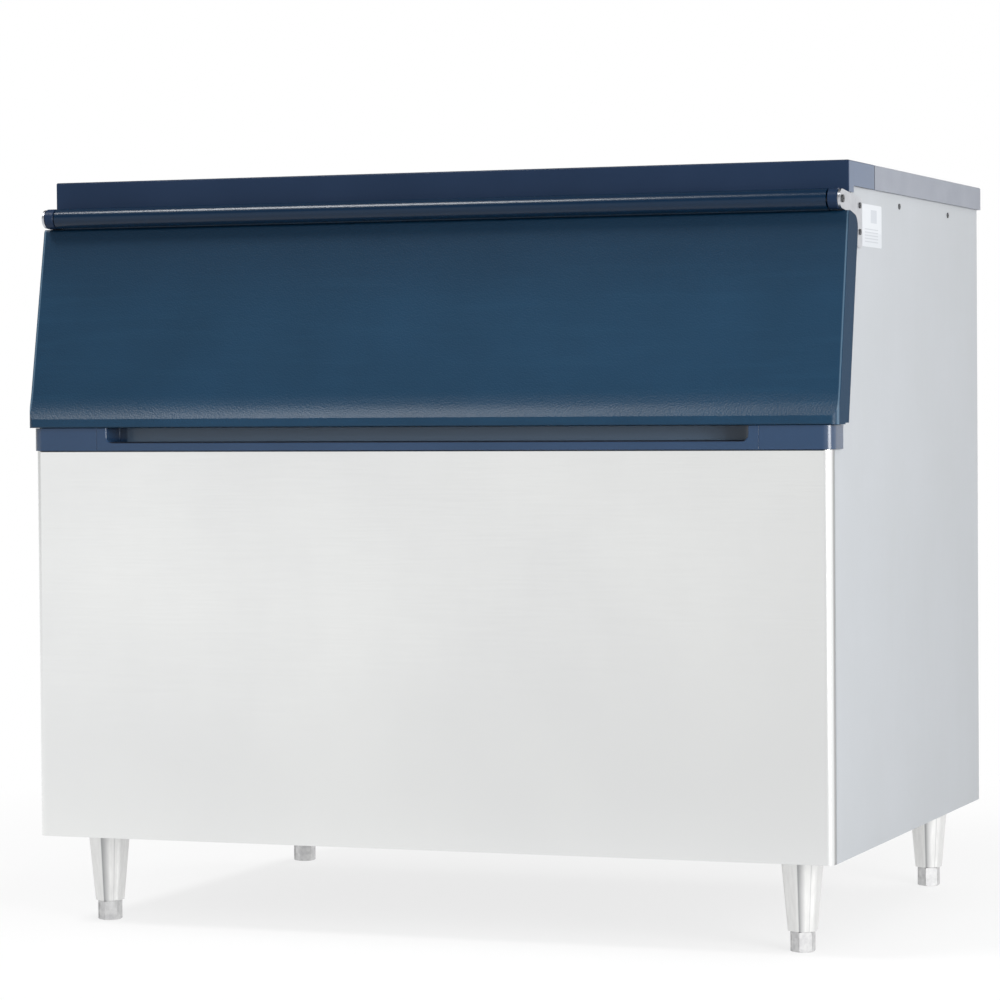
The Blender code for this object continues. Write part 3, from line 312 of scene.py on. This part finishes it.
tub = Finish("white food-grade plastic", paint(228, 231, 232), 0.34, specular=0.45)
peel = tub.place.clouds(0.004, 2.0)
scuffs = tub.place.clouds(0.006, 4.0, (9.0, 9.0, 1.0), 0.6)
scuffed_heights = (0.2, 0.75)
low_down = 1.0 - tub.place.along("Z").between(*scuffed_heights)
scuffed = scuffs.between(0.55, 0.72) * low_down
tub.vary("Base Color", scuffed.blend(paint(228, 231, 232), paint(211, 215, 218)))
tub.vary("Roughness", 0.30 + 0.08 * peel + 0.18 * scuffed)
tub.relief((peel, 0.00008), (scuffs, 0.00003))
softened("liner", tub, 0.0008, corner=38)

# Foam
# Rigid foam, poured between the liner and the sheets and inside the door. It is pale yellow,
# with fine closed cells.

foam = Finish("rigid insulation foam", paint(222, 205, 150), 0.9, specular=0.2)
bubbles = foam.place.cells(0.0012)
foam.vary("Base Color", bubbles.between(0.1, 0.6).blend(paint(206, 186, 128), paint(228, 212, 162)))
foam.relief((bubbles, 0.0003))
for name in ("foam_insulation", "door_foam"):
    nodes[name].data.materials.clear()
    nodes[name].data.materials.append(foam.material)

# Sill
# Three blue mouldings under the door: a rail with a long finger recess, and a corner piece at
# each end. Their spark-eroded skin is finer than the door's grain. The back of the recess is
# painted paler as light, its lower rim is painted dark as shade, and hands have polished its ends
# and the sill's corners.

sill_low, sill_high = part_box("sill_rail")
corner_low, corner_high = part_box("sill_corner_right")
recess_start = 0.006
recess_half = sill_high[0] - 0.0155
recess_floor = sill_low[2] + 0.012
recess_rim_radius = 0.0018
rim_slack = 0.0003
trim = Finish("blue smooth plastic", paint(38, 63, 93), 0.26, specular=0.4)
spark = trim.place.clouds(0.0006, 2.0)
fade = trim.place.clouds(0.12, 3.0)
sideways = trim.place.maths("ABSOLUTE", trim.place.along("X"))
backwards = trim.place.along("Y")
upwards = trim.place.along("Z")
# The back of the recess is painted paler, as light that reaches into it. The paler paint stops short
# of the recess's ends.
recess_painted_light = backwards.between(sill_low[1] + recess_start, sill_high[1])
recess_painted_light *= 1.0 - sideways.between(*from_edge(sill_high[0], -0.030, -0.026))
bent_in = backwards.between(*from_edge(sill_low[1], 0.00005, rim_slack))
# The recess's lower rim is painted dark, as shade, and made rougher.
rim_shade = bent_in * upwards.band(*from_edge(recess_floor, -0.0026, -0.0020, 0.0004, 0.0012))
rim_shade *= 1.0 - sideways.between(*from_edge(recess_half, -0.004, 0.0))
trim_tone = fade.between(0.3, 0.7).blend(paint(35, 61, 91), paint(40, 65, 96))
trim_tone = (0.7 * recess_painted_light).blend(trim_tone, paint(112, 136, 160))
trim.vary("Base Color", (0.9 * rim_shade).blend(trim_tone, paint(2, 16, 38)))
trim.vary("Roughness", 0.15 + 0.12 * spark + 0.6 * rim_shade)
corner_bend = sideways.between(*from_edge(corner_high[0], -0.016, -0.012))
corner_bend *= 1.0 - backwards.between(*from_edge(corner_low[1], 0.012, 0.016))
recess_ends = bent_in * sideways.band(*from_edge(recess_half, -0.018, -0.014, 0.002, 0.003))
recess_ends *= upwards.between(*from_edge(recess_floor, 0.002, 0.004))
trim.vary("Coat Weight", 0.9 * corner_bend + recess_ends)
trim.shader.inputs["Coat Roughness"].default_value = 0.22
trim.relief((spark, 0.00002))


def recess_rim(first, second, normals):
    in_front = max(first[1], second[1]) < sill_low[1] + rim_slack
    within = max(abs(first[0]), abs(second[0])) < recess_half + 2 * rim_slack
    return in_front and within and max(first[2], second[2]) > (sill_low[2] + recess_floor) / 2


softened("sill_rail", trim, 0.0007, bends=recess_rim, bend_radius=recess_rim_radius)
for name in ("sill_corner_left", "sill_corner_right"):
    softened(name, trim, 0.0007)

# Lip pads
# A thin black sheet lies on top of the sill at each end, where the door's lip comes down. It
# stands in for the shade in the gap under the lip, and its skin is slightly wrinkled.


def begin(primitive, name, **sizes):
    """Adds a primitive with nothing else selected, ready to be shaped."""
    bpy.ops.object.select_all(action="DESELECT")
    getattr(bpy.ops.mesh, "primitive_" + primitive + "_add")(**sizes)
    piece = bpy.context.view_layer.objects.active
    piece.name = piece.data.name = name
    return piece


pad_thickness = 0.0004
pad_width = 0.108
pad_depth = 0.028
pad_end_inset = 0.0065
pad_front_inset = 0.010
pad_corner = 0.004
# A black sheet, put where there is only shade under the lip.
shade_sheet = Finish("black sheet standing in for shade", paint(26, 27, 30), 0.7, specular=0.2)
shade_sheet_skin = shade_sheet.place.clouds(0.0020, 3.0)
shade_sheet.vary("Base Color", shade_sheet_skin.blend(paint(22, 23, 26), paint(36, 37, 40)))
shade_sheet.vary("Roughness", 0.6 + 0.3 * shade_sheet_skin)
shade_sheet.relief((shade_sheet_skin, 0.0001))
for side, name in ((-1, "lip_pad_left"), (1, "lip_pad_right")):
    pad = begin("plane", name, size=1.0, location=(0, 0, 0))
    pad.scale = (pad_width, pad_depth, 1)
    pad.location = (side * (corner_high[0] - pad_end_inset - pad_width / 2),
                    corner_low[1] + pad_front_inset + pad_depth / 2, corner_high[2])
    bpy.ops.object.transform_apply(location=True, rotation=True, scale=True)
    bpy.ops.object.mode_set(mode="EDIT")
    bpy.ops.mesh.select_all(action="SELECT")
    bpy.ops.mesh.bevel(offset=pad_corner, segments=4, affect="VERTICES")
    bpy.ops.object.mode_set(mode="OBJECT")
    thick = pad.modifiers.new("Shade sheet", "SOLIDIFY")
    thick.thickness = pad_thickness
    thick.offset = 1
    bpy.ops.object.modifier_apply(modifier=thick.name)
    pad.data.materials.append(shade_sheet.material)
    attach(pad, nodes["sill_corner_right"]["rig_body"])

# Top rail and fascia
# A grey channel caps both sides and the back, and the ice machine stands on it. The blue
# fascia covers the header in front of it. The rail is painted darker along the joint between
# them as shade, and the fascia's side ends are painted paler as a sheen.

fascia_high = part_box("top_fascia")[1]
joint_line = 0.005
rail = Finish("grey rail plastic", paint(150, 155, 165), 0.42, specular=0.42)
rail_grain = rail.place.clouds(0.0008, 2.0)
rail_dust = rail.place.clouds(0.05, 4.0)
joint_edges = from_edge(fascia_high[1], joint_line / 2, joint_line)
# The rail is painted darker along its joint with the fascia, as shade.
joint_painted_shade = 1.0 - rail.place.along("Y").between(*joint_edges)
rail_tone = rail_dust.between(0.35, 0.7).blend(paint(138, 143, 155), paint(145, 150, 161))
rail.vary("Base Color", (0.85 * joint_painted_shade).blend(rail_tone, paint(30, 34, 42)))
rail.vary("Roughness", 0.36 + 0.12 * rail_grain)
rail.relief((rail_grain, 0.00003))
softened("top_rail", rail, 0.0005)

cap = Finish("dark blue smooth plastic", paint(27, 46, 73), 0.36, specular=0.16)
cap_grain = cap.place.clouds(0.0007, 2.0)
cap_fade = cap.place.clouds(0.15, 3.0)
cap_tone = cap_fade.between(0.3, 0.7).blend(paint(25, 43, 68), paint(30, 48, 74))
cap_outward = cap.place.maths("ABSOLUTE", cap.place.along("X"))
# The fascia's side ends are painted paler, as a sheen of the light from the side. They are coated as
# well.
cap_side_painted_sheen = cap_outward.between(*from_edge(fascia_high[0], -0.0006, -0.0002))
cap.vary("Base Color", (0.7 * cap_side_painted_sheen).blend(cap_tone, paint(66, 92, 128)))
cap.vary("Roughness", 0.30 + 0.12 * cap_grain)
cap.vary("Coat Weight", 0.68 * cap_side_painted_sheen)
cap.shader.inputs["Coat Roughness"].default_value = 0.35
cap.relief((cap_grain, 0.00003))
softened("top_fascia", cap, 0.0004)

# Door
# A blue moulded shell with a pebbled grain and a flared lip. Its hinge barrel is smooth and is
# painted darker as shade, with painted shadow below it on the top of the face. Its side faces are
# painted darker as shade, and a highlight is painted along its side edges. A white formed pan
# closes its back, with a rubber seal round the raised plug.

door = Finish("blue grained plastic", paint(20, 58, 84), 0.50, specular=0.30)
pebble = door.place.cells(0.0026)
fine_pebble = door.place.clouds(0.0010, 2.0)
sheen = door.place.clouds(0.2, 3.0)
streaks = door.place.clouds(0.012, 3.0, (14.0, 1.0, 1.0))
door_tone = sheen.between(0.3, 0.7).blend(paint(14, 51, 76), paint(19, 57, 84))
door_tone = (0.35 * streaks.between(0.5, 0.75)).blend(door_tone, paint(23, 61, 87))
barrel_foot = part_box("hinge_rod")[0][2] - 0.012
door_height = door.place.along("Z")
# Shade from the hinge barrel is painted down the top of the door's face.
upper = 0.6 * door_height.between(*from_edge(barrel_foot, -0.12, -0.02))
door_tone = upper.blend(door_tone, paint(4, 34, 56))
# The barrel is painted darker, as shade. It is also smoother and less grained than the door.
barrel = 0.85 * door_height.between(*from_edge(barrel_foot, 0.0, 0.006))
door_tone = barrel.blend(door_tone, paint(0, 30, 55))
door_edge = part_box("door_shell")[1][0]
outward = door.place.maths("ABSOLUTE", door.place.along("X"))
# The door's side faces are painted darker, as shade, and are made rougher.
door_side = outward.between(*from_edge(door_edge, -0.0004, -0.0002))
door_tone = (0.4 * door_side).blend(door_tone, paint(8, 42, 68))
# A highlight is painted along the crease at each side edge. The same band is also coated.
crease_painted_highlight = outward.band(*from_edge(door_edge, -0.0036, -0.0026, -0.0012, -0.0006))
door.vary("Base Color", (0.8 * crease_painted_highlight * (1.0 - barrel)).blend(door_tone, paint(82, 110, 132)))
door.vary("Roughness", 0.34 + 0.14 * fine_pebble + 0.30 * door_side - 0.19 * barrel)
door.vary("Coat Weight", 0.6 * crease_painted_highlight + 0.08 * barrel)
door.shader.inputs["Coat Roughness"].default_value = 0.28
grained = 1.0 - barrel
door.relief(((1.0 - pebble) * grained, 0.00022), (fine_pebble * grained, 0.00006))
softened("door_shell", door, 0.0006, corner=28)

pan = Finish("white formed sheet", paint(226, 229, 230), 0.38, specular=0.4)
pan_peel = pan.place.clouds(0.003, 2.0)
pan.vary("Base Color", pan.place.clouds(0.1, 3.0).blend(paint(228, 231, 232), paint(222, 226, 228)))
pan.vary("Roughness", 0.33 + 0.12 * pan_peel)
pan.relief((pan_peel, 0.00006))
softened("door_inner_pan", pan, 0.0015)

rubber = Finish("grey gasket rubber", paint(84, 85, 88), 0.62, specular=0.35)
rubber_grain = rubber.place.clouds(0.0012, 3.0)
rubber.vary("Base Color", rubber_grain.between(0.3, 0.8).blend(paint(78, 79, 82), paint(98, 99, 102)))
rubber.relief((rubber_grain, 0.00004))
softened("door_gasket", rubber, 0.0018, steps=3)

# Hinge
# A plated steel rod runs through the door's barrel, between two blue bushes and two laser-cut
# brackets that are screwed to the side panels.

plated = Finish("satin plated steel", paint(206, 208, 212), 0.30, metallic=1.0)
tumbled = plated.place.clouds(0.0010, 3.0)
plating = plated.place.clouds(0.012, 3.0)
plated.vary("Base Color", plating.between(0.3, 0.7).blend(paint(200, 202, 207), paint(188, 190, 195)))
plated.vary("Roughness", 0.24 + 0.18 * tumbled)
plated.relief((tumbled, 0.00001))
for name in ("hinge_bracket_left", "hinge_bracket_right", "hinge_rod"):
    softened(name, plated, 0.0007, steps=3)
for name in ("hinge_bush_left", "hinge_bush_right"):
    softened(name, cap)

# Ice baffle
# A hanging plate of the liner's plastic that keeps ice from falling out when the door opens.
# Two screws hold it to the header.

softened("ice_baffle", tub, 0.0004)

# Drain
# A white threaded fitting in the tub's floor with a nut below the base pan, and a perforated
# steel strainer dropped into its flange.

fitting = Finish("drain plastic", paint(222, 224, 225), 0.4, specular=0.4)
fitting_grain = fitting.place.clouds(0.002, 3.0)
fitting.vary("Base Color", fitting_grain.blend(paint(224, 226, 227), paint(216, 218, 219)))
fitting.vary("Roughness", 0.34 + 0.14 * fitting_grain)
fitting.relief((fitting_grain, 0.00003))
softened("drain_fitting", fitting, 0.0006)
softened("drain_nut", fitting, 0.0008)
softened("drain_strainer", plated)

# Legs
# Die-cast legs with a nickel plating, tapered, with cast streaks, parting lines and bands of painted
# dark reflection, on square steel plates with four bolts each. Each foot screws into its leg and has
# two milled flats for a wrench.


def select_faces(piece, chosen):
    """Edit mode, with the faces selected that chosen(centre, normal) picks."""
    bpy.ops.object.mode_set(mode="OBJECT")
    for part in (*piece.data.vertices, *piece.data.edges):
        part.select = False
    for face in piece.data.polygons:
        face.select = bool(chosen(face.center, face.normal))
    bpy.context.tool_settings.mesh_select_mode = (False, False, True)
    bpy.ops.object.mode_set(mode="EDIT")


def is_sharp(first, second, normals):
    """Whether an edge's two sides meet at a clear angle."""
    return len(normals) == 2 and normals[0].dot(normals[1]) < 0.5


dark_reflection_band = (0.0, 0.02, 0.02, 0.22)
parting_line = (0.335, 0.345, 0.35, 0.37)
flat_turns = (-2 * pi / 3, pi / 3)
flat_width = 0.0150
flat_depth = 0.0009
flat_top_rise = 0.0255
flat_corner = 0.0030
cutter_thickness = 0.01
stud_radius = 0.0068
thread_pitch = 0.00125
bolt_spread = 0.033
bolt_radius = 0.0052
bolt_height = 0.0040
bolt_ease = 0.16 * bolt_radius
washer_radius = 0.0064
washer_height = 0.0010
washer_ease = 0.25 * washer_height


def wrench_flat_cutter(x, y, turn, reach):
    """A block that mills one flat into a foot, from the floor up, with rounded upper corners."""
    cutter = begin("cube", "flat_cutter", size=1.0, location=(0, 0, 0))
    cutter.scale = (cutter_thickness, flat_width, 2 * flat_top_rise)
    cutter.location = (reach + cutter_thickness / 2, 0, 0)
    bpy.ops.object.transform_apply(location=True, rotation=True, scale=True)
    select_edges(cutter, lambda first, second, normals:
                 min(first[2], second[2]) > 0 and first[1] == second[1])
    bpy.ops.mesh.bevel(offset=flat_corner, segments=5, affect="EDGES")
    bpy.ops.object.mode_set(mode="OBJECT")
    cutter.rotation_euler = (0, 0, turn)
    cutter.location = (x, y, 0)
    bpy.ops.object.transform_apply(location=True, rotation=True, scale=True)
    return cutter


def leg_bolts(name, x, y, seat):
    """Four hexagon bolts with washers under a leg plate, as one piece."""
    heads = []
    diagonal = bolt_spread * 2 ** 0.5
    for turn in range(4):
        angle = pi / 4 + turn * pi / 2
        spot = (x + diagonal * cos(angle), y + diagonal * sin(angle), seat)
        bolt = begin("cylinder", name, vertices=6, radius=bolt_radius, depth=bolt_height,
                     location=(0, 0, -bolt_height / 2 - washer_height))
        select_faces(bolt, lambda centre, normal: normal[2] > square_on)
        bpy.ops.mesh.inset(thickness=bolt_radius * 0.3)
        bpy.ops.mesh.extrude_region_move(TRANSFORM_OT_translate={"value": (0, 0, washer_height / 2)})
        bpy.ops.object.mode_set(mode="OBJECT")
        select_edges(bolt, lambda first, second, normals: max(first[2], second[2]) < -bolt_height)
        bpy.ops.mesh.bevel(offset=bolt_ease, segments=2, affect="EDGES")
        bpy.ops.object.mode_set(mode="OBJECT")
        bolt.rotation_euler = (0, 0, angle)
        bolt.location = spot
        bpy.ops.object.transform_apply(location=True, rotation=True, scale=True)
        heads.append(bolt)
        washer = begin("cylinder", "washer", vertices=28, radius=washer_radius, depth=washer_height,
                       location=(spot[0], spot[1], seat - washer_height / 2))
        bpy.ops.object.transform_apply(location=True, rotation=True, scale=True)
        select_edges(washer, is_sharp)
        bpy.ops.mesh.bevel(offset=washer_ease, segments=2, affect="EDGES")
        bpy.ops.object.mode_set(mode="OBJECT")
        heads.append(washer)
    bpy.ops.object.select_all(action="DESELECT")
    for head in heads:
        head.select_set(True)
    bpy.context.view_layer.objects.active = heads[0]
    bpy.ops.object.join()
    bpy.ops.object.shade_smooth_by_angle(angle=radians(35))
    return heads[0]


for corner in ("front_left", "front_right", "rear_left", "rear_right"):
    low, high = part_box("leg_" + corner)
    middle = ((low[0] + high[0]) / 2, (low[1] + high[1]) / 2)
    cast = Finish("nickel plated leg " + corner.replace("_", " "), paint(220, 220, 219), 0.34,
                  metallic=0.85)
    casting = cast.place.clouds(0.005, 3.0, (1.0, 1.0, 6.0))
    pits = cast.place.clouds(0.0012, 3.0)
    round_leg = cast.place.placed((1.0, 1.0, 1.0), (-middle[0], -middle[1], 0.0))
    turn = cast.place.maths("ARCTAN2", round_leg.along("Y"), round_leg.along("X"))
    third = cast.place.maths("FRACT", (turn + pi / 2) * (3 / (2 * pi)) + 3.0)
    # Three wide bands round each leg are painted dark, as a reflection.
    painted_dark_reflection = third.band(*dark_reflection_band)
    draw_line = third.band(*parting_line)
    cast_tone = casting.between(0.25, 0.75).blend(paint(222, 222, 221), paint(236, 236, 235))
    cast_tone = (0.4 * draw_line).blend(cast_tone, paint(150, 151, 152))
    cast.vary("Base Color", (painted_dark_reflection * 0.9).blend(cast_tone, paint(146, 147, 149)))
    cast.vary("Roughness", 0.28 + 0.14 * casting)
    cast.relief((casting, 0.00005), (pits, 0.00003))
    softened("leg_" + corner, cast, 0.0012, steps=3)
    foot_low, foot_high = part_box("foot_" + corner)
    reach = (foot_high[0] - foot_low[0]) / 2 - flat_depth
    cutters = [wrench_flat_cutter(*middle, flat_turn, reach) for flat_turn in flat_turns]
    milled = Finish("plated foot " + corner.replace("_", " "), paint(205, 205, 205), 0.3,
                    metallic=0.9)
    lathe_lines = milled.place.clouds(0.0007, 2.0, (30.0, 30.0, 1.0))
    smudge = milled.place.clouds(0.008, 3.0)
    round_foot = milled.place.placed((1.0, 1.0, 0.0), (-middle[0], -middle[1], 0.0))
    off_axis = milled.place.node("VectorMath", {"operation": "LENGTH"}, {0: round_foot}, "Value")
    thread = milled.place.maths("PINGPONG", milled.place.along("Z"), thread_pitch / 2)
    thread *= 2 / thread_pitch
    on_stud = 1.0 - off_axis.between(stud_radius, stud_radius + 0.0002)
    milled_tone = smudge.between(0.3, 0.7).blend(paint(214, 214, 214), paint(188, 188, 189))
    milled.vary("Base Color", milled_tone)
    milled.vary("Roughness", 0.24 + 0.16 * smudge)
    milled.relief((lathe_lines, 0.00002), (thread * on_stud, 0.0006))
    softened("foot_" + corner, milled, 0.0006, cutters=cutters)
    softened("leg_plate_" + corner, plated, 0.0004)
    bolts = leg_bolts("leg_bolts_" + corner, *middle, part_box("leg_plate_" + corner)[0][2])
    bolts.data.materials.append(plated.material)
    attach(bolts, nodes["leg_plate_" + corner]["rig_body"])

# Screws
# Zinc plated pan-head screws with a cross recess: in the hinge brackets, under the rail at each
# side, in the hinge's ends and in the baffle.


def copied(pattern, name, place):
    """A copy of a pattern with its own mesh, put in its place."""
    bpy.ops.object.select_all(action="DESELECT")
    pattern.select_set(True)
    bpy.context.view_layer.objects.active = pattern
    bpy.ops.object.duplicate(linked=False)
    piece = bpy.context.view_layer.objects.active
    piece.name = piece.data.name = name
    piece.matrix_world = place
    bpy.ops.object.transform_apply(location=True, rotation=True, scale=True)
    return piece


head_radius = 0.0042
head_height = 0.0022
shank_radius = 0.0020
shank_length = 0.0090
shank_point = 0.55
recess_width = 0.0011
recess_reach = 0.0026
recess_depth = 0.0012
screw = begin("cylinder", "screw_pattern", vertices=32, radius=head_radius, depth=head_height,
              location=(0, 0, head_height / 2))
select_faces(screw, lambda centre, normal: normal[2] > square_on)
for _ in range(2):
    bpy.ops.mesh.inset(thickness=head_radius * 0.3)
select_faces(screw, lambda centre, normal: normal[2] < -square_on)
bpy.ops.mesh.inset(thickness=head_radius - shank_radius)
bpy.ops.mesh.extrude_region_move(TRANSFORM_OT_translate={"value": (0, 0, -shank_length)})
bpy.ops.transform.resize(value=(shank_point, shank_point, 1.0))
bpy.ops.object.mode_set(mode="OBJECT")
select_edges(screw, lambda first, second, normals:
             min(first[2], second[2]) > head_height * 0.9 and is_sharp(first, second, normals))
bpy.ops.mesh.bevel(offset=head_height * 0.45, segments=4, profile=0.6, affect="EDGES")
bpy.ops.object.mode_set(mode="OBJECT")
for reach in ((recess_reach, recess_width / 2), (recess_width / 2, recess_reach)):
    cross = begin("cube", "cross", size=2.0, location=(0, 0, 0))
    cross.scale = (*reach, recess_depth)
    cross.location = (0, 0, head_height)
    bpy.ops.object.transform_apply(location=True, rotation=True, scale=True)
    cut_away(screw, cross)
bpy.ops.object.shade_smooth_by_angle(angle=radians(35))
zinc = Finish("zinc plated screw steel", paint(96, 97, 100), 0.34, metallic=1.0)
zinc_stain = zinc.place.clouds(0.002, 3.0)
zinc.vary("Base Color", zinc_stain.between(0.3, 0.8).blend(paint(104, 105, 108), paint(78, 78, 78)))
zinc.vary("Roughness", 0.28 + 0.22 * zinc_stain)
zinc.relief((zinc_stain, 0.00002))
screw.data.materials.append(zinc.material)
for name in [name for name in nodes if "_screw_" in name]:
    low, high = (Vector(corner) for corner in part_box(name))
    span = high - low
    if name.startswith("baffle"):
        turn = Matrix.Rotation(-pi / 2, 4, "X")
        seat = Vector(((low.x + high.x) / 2, high.y, (low.z + high.z) / 2))
        ahead = Vector((0, 1, 0))
        radius = span.x / 2
    else:
        side = 1 if low.x > 0 else -1
        turn = Matrix.Rotation(side * pi / 2, 4, "Y")
        seat = Vector((high.x if side > 0 else low.x, (low.y + high.y) / 2, (low.z + high.z) / 2))
        ahead = Vector((side, 0, 0))
        radius = span.y / 2
    size = radius / head_radius
    place = Matrix.Translation(seat - ahead * head_height * size) @ turn @ Matrix.Scale(size, 4)
    piece = copied(screw, name + "_driven", place)
    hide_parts(name)
    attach(piece, nodes[name]["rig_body"])

# Panel screws
# The same zinc plated screws, driven in from behind, hold the back panel to the flanges of the
# sides and the base pan: five up each side and five along the bottom.

back_low, back_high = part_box("back_panel")
edge_inset = 0.0065
row_low, row_high = back_low[2] + 0.05, back_high[2] - 0.11
screw_rows = 5
spots = []
for k in range(screw_rows):
    z = row_low + (row_high - row_low) * k / (screw_rows - 1)
    spots += [(back_low[0] + edge_inset, z), (back_high[0] - edge_inset, z)]
for k in range(screw_rows):
    x = back_low[0] + (back_high[0] - back_low[0]) * (k + 1) / (screw_rows + 1)
    spots.append((x, back_low[2] + edge_inset))
for k, (x, z) in enumerate(spots):
    place = Matrix.Translation((x, back_high[1], z)) @ Matrix.Rotation(-pi / 2, 4, "X")
    piece = copied(screw, "back_screw_%02d" % (k + 1), place)
    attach(piece, nodes["back_panel"]["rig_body"])
bpy.data.objects.remove(screw, do_unlink=True)

# Side label
# A blank label of white vinyl, stuck to the right side near its top. Its boxes are ruled in
# grey and left empty.

side_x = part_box("side_panel_right")[1][0]
label_front, label_rear = from_edge(panel_low[1], 0.164, 0.2725)
label_low, label_high = from_edge(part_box("base_pan")[0][2], 0.852, 0.912)
label_thickness = 0.0002
label_glue = 0.00005
label_corner = 0.003
row_pitch = 0.0044
label = begin("plane", "side_label", size=1.0, location=(0, 0, 0))
label.scale = (label_high - label_low, label_rear - label_front, 1)
label.rotation_euler = (0, pi / 2, 0)
label.location = (side_x + label_glue, (label_front + label_rear) / 2, (label_low + label_high) / 2)
bpy.ops.object.transform_apply(location=True, rotation=True, scale=True)
bpy.ops.object.mode_set(mode="EDIT")
bpy.ops.mesh.select_all(action="SELECT")
bpy.ops.mesh.bevel(offset=label_corner, segments=4, affect="VERTICES")
bpy.ops.object.mode_set(mode="OBJECT")
thick = label.modifiers.new("Vinyl", "SOLIDIFY")
thick.thickness = label_thickness
thick.offset = 1
bpy.ops.object.modifier_apply(modifier=thick.name)


def across_label(*shares):
    """Places along the label, as shares of its length."""
    return [label_front + share * (label_rear - label_front) for share in shares]


vinyl = Finish("white label vinyl", paint(232, 235, 238), 0.3, specular=0.5)
vinyl_grain = vinyl.place.clouds(0.003, 3.0)
up = vinyl.place.along("Z")
across = vinyl.place.along("Y")
upper_box = up.band(*from_edge(label_high, -0.026, -0.0255, -0.0075, -0.007))
upper_box *= across.band(*across_label(0.45, 0.455, 0.75, 0.755))
lower_band = 1.0 - up.between(*from_edge(label_low, 0.020, 0.0205))
rows = up.maths("FRACT", up * (1 / row_pitch)).between(0.62, 0.70)
rows *= up.band(*from_edge(label_low, 0.006, 0.0062, 0.026, 0.0262))
rows *= across.band(*across_label(0.15, 0.153, 0.82, 0.823))
label_tone = (0.6 * upper_box).blend(paint(214, 218, 223), paint(176, 182, 191))
label_tone = (0.4 * lower_band).blend(label_tone, paint(196, 201, 207))
vinyl.vary("Base Color", (0.45 * rows).blend(label_tone, paint(150, 156, 166)))
vinyl.vary("Roughness", 0.26 + 0.1 * vinyl_grain)
vinyl.relief((vinyl_grain, 0.00002))
label.data.materials.append(vinyl.material)
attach(label, nodes["side_panel_right"]["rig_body"])

# Floor
# A wide sheet of white paper under the bin. It keeps the bin's shadow near the legs and fades to
# plain white further off.


def surroundings(tree):
    """A tone that is 1 for what is seen directly, in a mirror or through glass, else 0."""
    start = Tone(tree)
    seen = start.node("LightPath", output="Is Camera Ray")
    mirrored = start.node("LightPath", output="Is Glossy Ray")
    through = start.node("LightPath", output="Is Transmission Ray")
    return (seen + mirrored + through).between(0.0, 1.0)


floor_size = 60
shadow_reach = (0.9, 2.0)
dimmed_left = (-2.6, -0.7)
dimmed_front = (-1.6, -0.9)
floor = begin("plane", "studio_floor", size=floor_size, location=(0, 0, 0))
paper = bpy.data.materials.new("studio floor")
paper.use_nodes = True
paper.node_tree.nodes.clear()
direct = surroundings(paper.node_tree)
floor_spot = direct.node("TexCoord", output="Object")
distance = direct.node("VectorMath", {"operation": "LENGTH"}, {0: floor_spot}, "Value")
share = direct * (0.78 + 0.22 * distance.between(*shadow_reach))
bounce = direct.blend((0.5, 0.5, 0.5, 1), (0.92, 0.92, 0.92, 1))
matt = direct.node("BsdfDiffuse", {}, {"Color": bounce})
in_gloss = direct.node("LightPath", output="Is Glossy Ray")
dimmed = in_gloss * floor_spot.along("X").between(*dimmed_left)
dimmed *= 1.0 - floor_spot.along("Y").between(*dimmed_front)
brightness = 1.0 + 0.06 * in_gloss - 0.20 * dimmed
white = direct.node("Emission", {}, {"Color": (1, 1, 1, 1), "Strength": brightness})
mixed = direct.node("MixShader", {}, {0: share, 1: matt, 2: white})
direct.node("OutputMaterial", {}, {"Surface": mixed})
floor.data.materials.append(paper)

# Studio light
# A white room and four large soft boxes. What gloss mirrors of the room is darker above, to the
# left and in front, and brighter to the right.

world = bpy.data.worlds.new("studio")
bpy.context.scene.world = world
world.use_nodes = True
world.node_tree.nodes.clear()
direct = surroundings(world.node_tree)
camera_only = direct.node("LightPath", output="Is Camera Ray")
direction = direct.node("TexCoord", output="Generated")
aside, backward = direction.along("X"), direction.along("Y")
ceiling = 0.85 * direction.along("Z").between(0.10, 0.32)
darker_front = 0.22 * (1.0 - backward.between(-0.5, 0.0)) * aside.between(-0.50, -0.26)
dark_left = 0.6 * (1.0 - aside.between(-0.95, -0.65))
bright_right = 0.25 * aside.between(0.42, 0.62) * (1.0 - backward.between(0.35, 0.7))
mirrored = (1.04 + bright_right - darker_front - dark_left) * (1.0 - ceiling)
room = 0.50 * (1.0 - direct) + camera_only + (direct - camera_only) * mirrored
glow = direct.node("Background", {}, {"Color": (1, 1, 1, 1), "Strength": room})
direct.node("OutputWorld", {}, {"Surface": glow})


def soft_box(name, place, aim, width, height, watts):
    """An area lamp that faces a point and isn't seen itself."""
    lamp = bpy.data.lights.new(name, "AREA")
    lamp.shape = "RECTANGLE"
    lamp.size = width
    lamp.size_y = height
    lamp.energy = watts
    obj = bpy.data.objects.new(name, lamp)
    bpy.context.scene.collection.objects.link(obj)
    obj.location = place
    obj.rotation_euler = (Vector(aim) - Vector(place)).to_track_quat("-Z", "Y").to_euler()
    obj.visible_camera = False


soft_box("overhead_box", (-1.6, -2.0, 4.1), (-0.1, -0.4, 0.7), 1.6, 0.8, 88)
soft_box("front_box", (2.9, -4.8, 2.5), (0, 0, 0.8), 2.2, 1.6, 26)
soft_box("side_box", (3.6, -2.5, 1.4), (0.5, -0.2, 0.8), 1.8, 1.9, 122)
soft_box("rear_box", (1.6, 3.6, 3.4), (0, 0, 0.7), 2.4, 1.6, 40)

# Camera
# A long lens, a good five metres off, to the right of the bin and lower than its hinge. It looks
# slightly down, and its shift sets the bin in the frame.

lens = bpy.data.cameras.new("camera")
camera = bpy.data.objects.new("camera", lens)
bpy.context.scene.collection.objects.link(camera)
camera.location = (1.94957, -5.23151, 0.78117)
camera.rotation_euler = (1.541832, 0.007587, 0.349269)
lens.sensor_width = 36
lens.lens = 131.1045
lens.shift_x = -0.05
lens.clip_end = 100
bpy.context.scene.camera = camera

bpy.context.scene.view_settings.view_transform = "Standard"
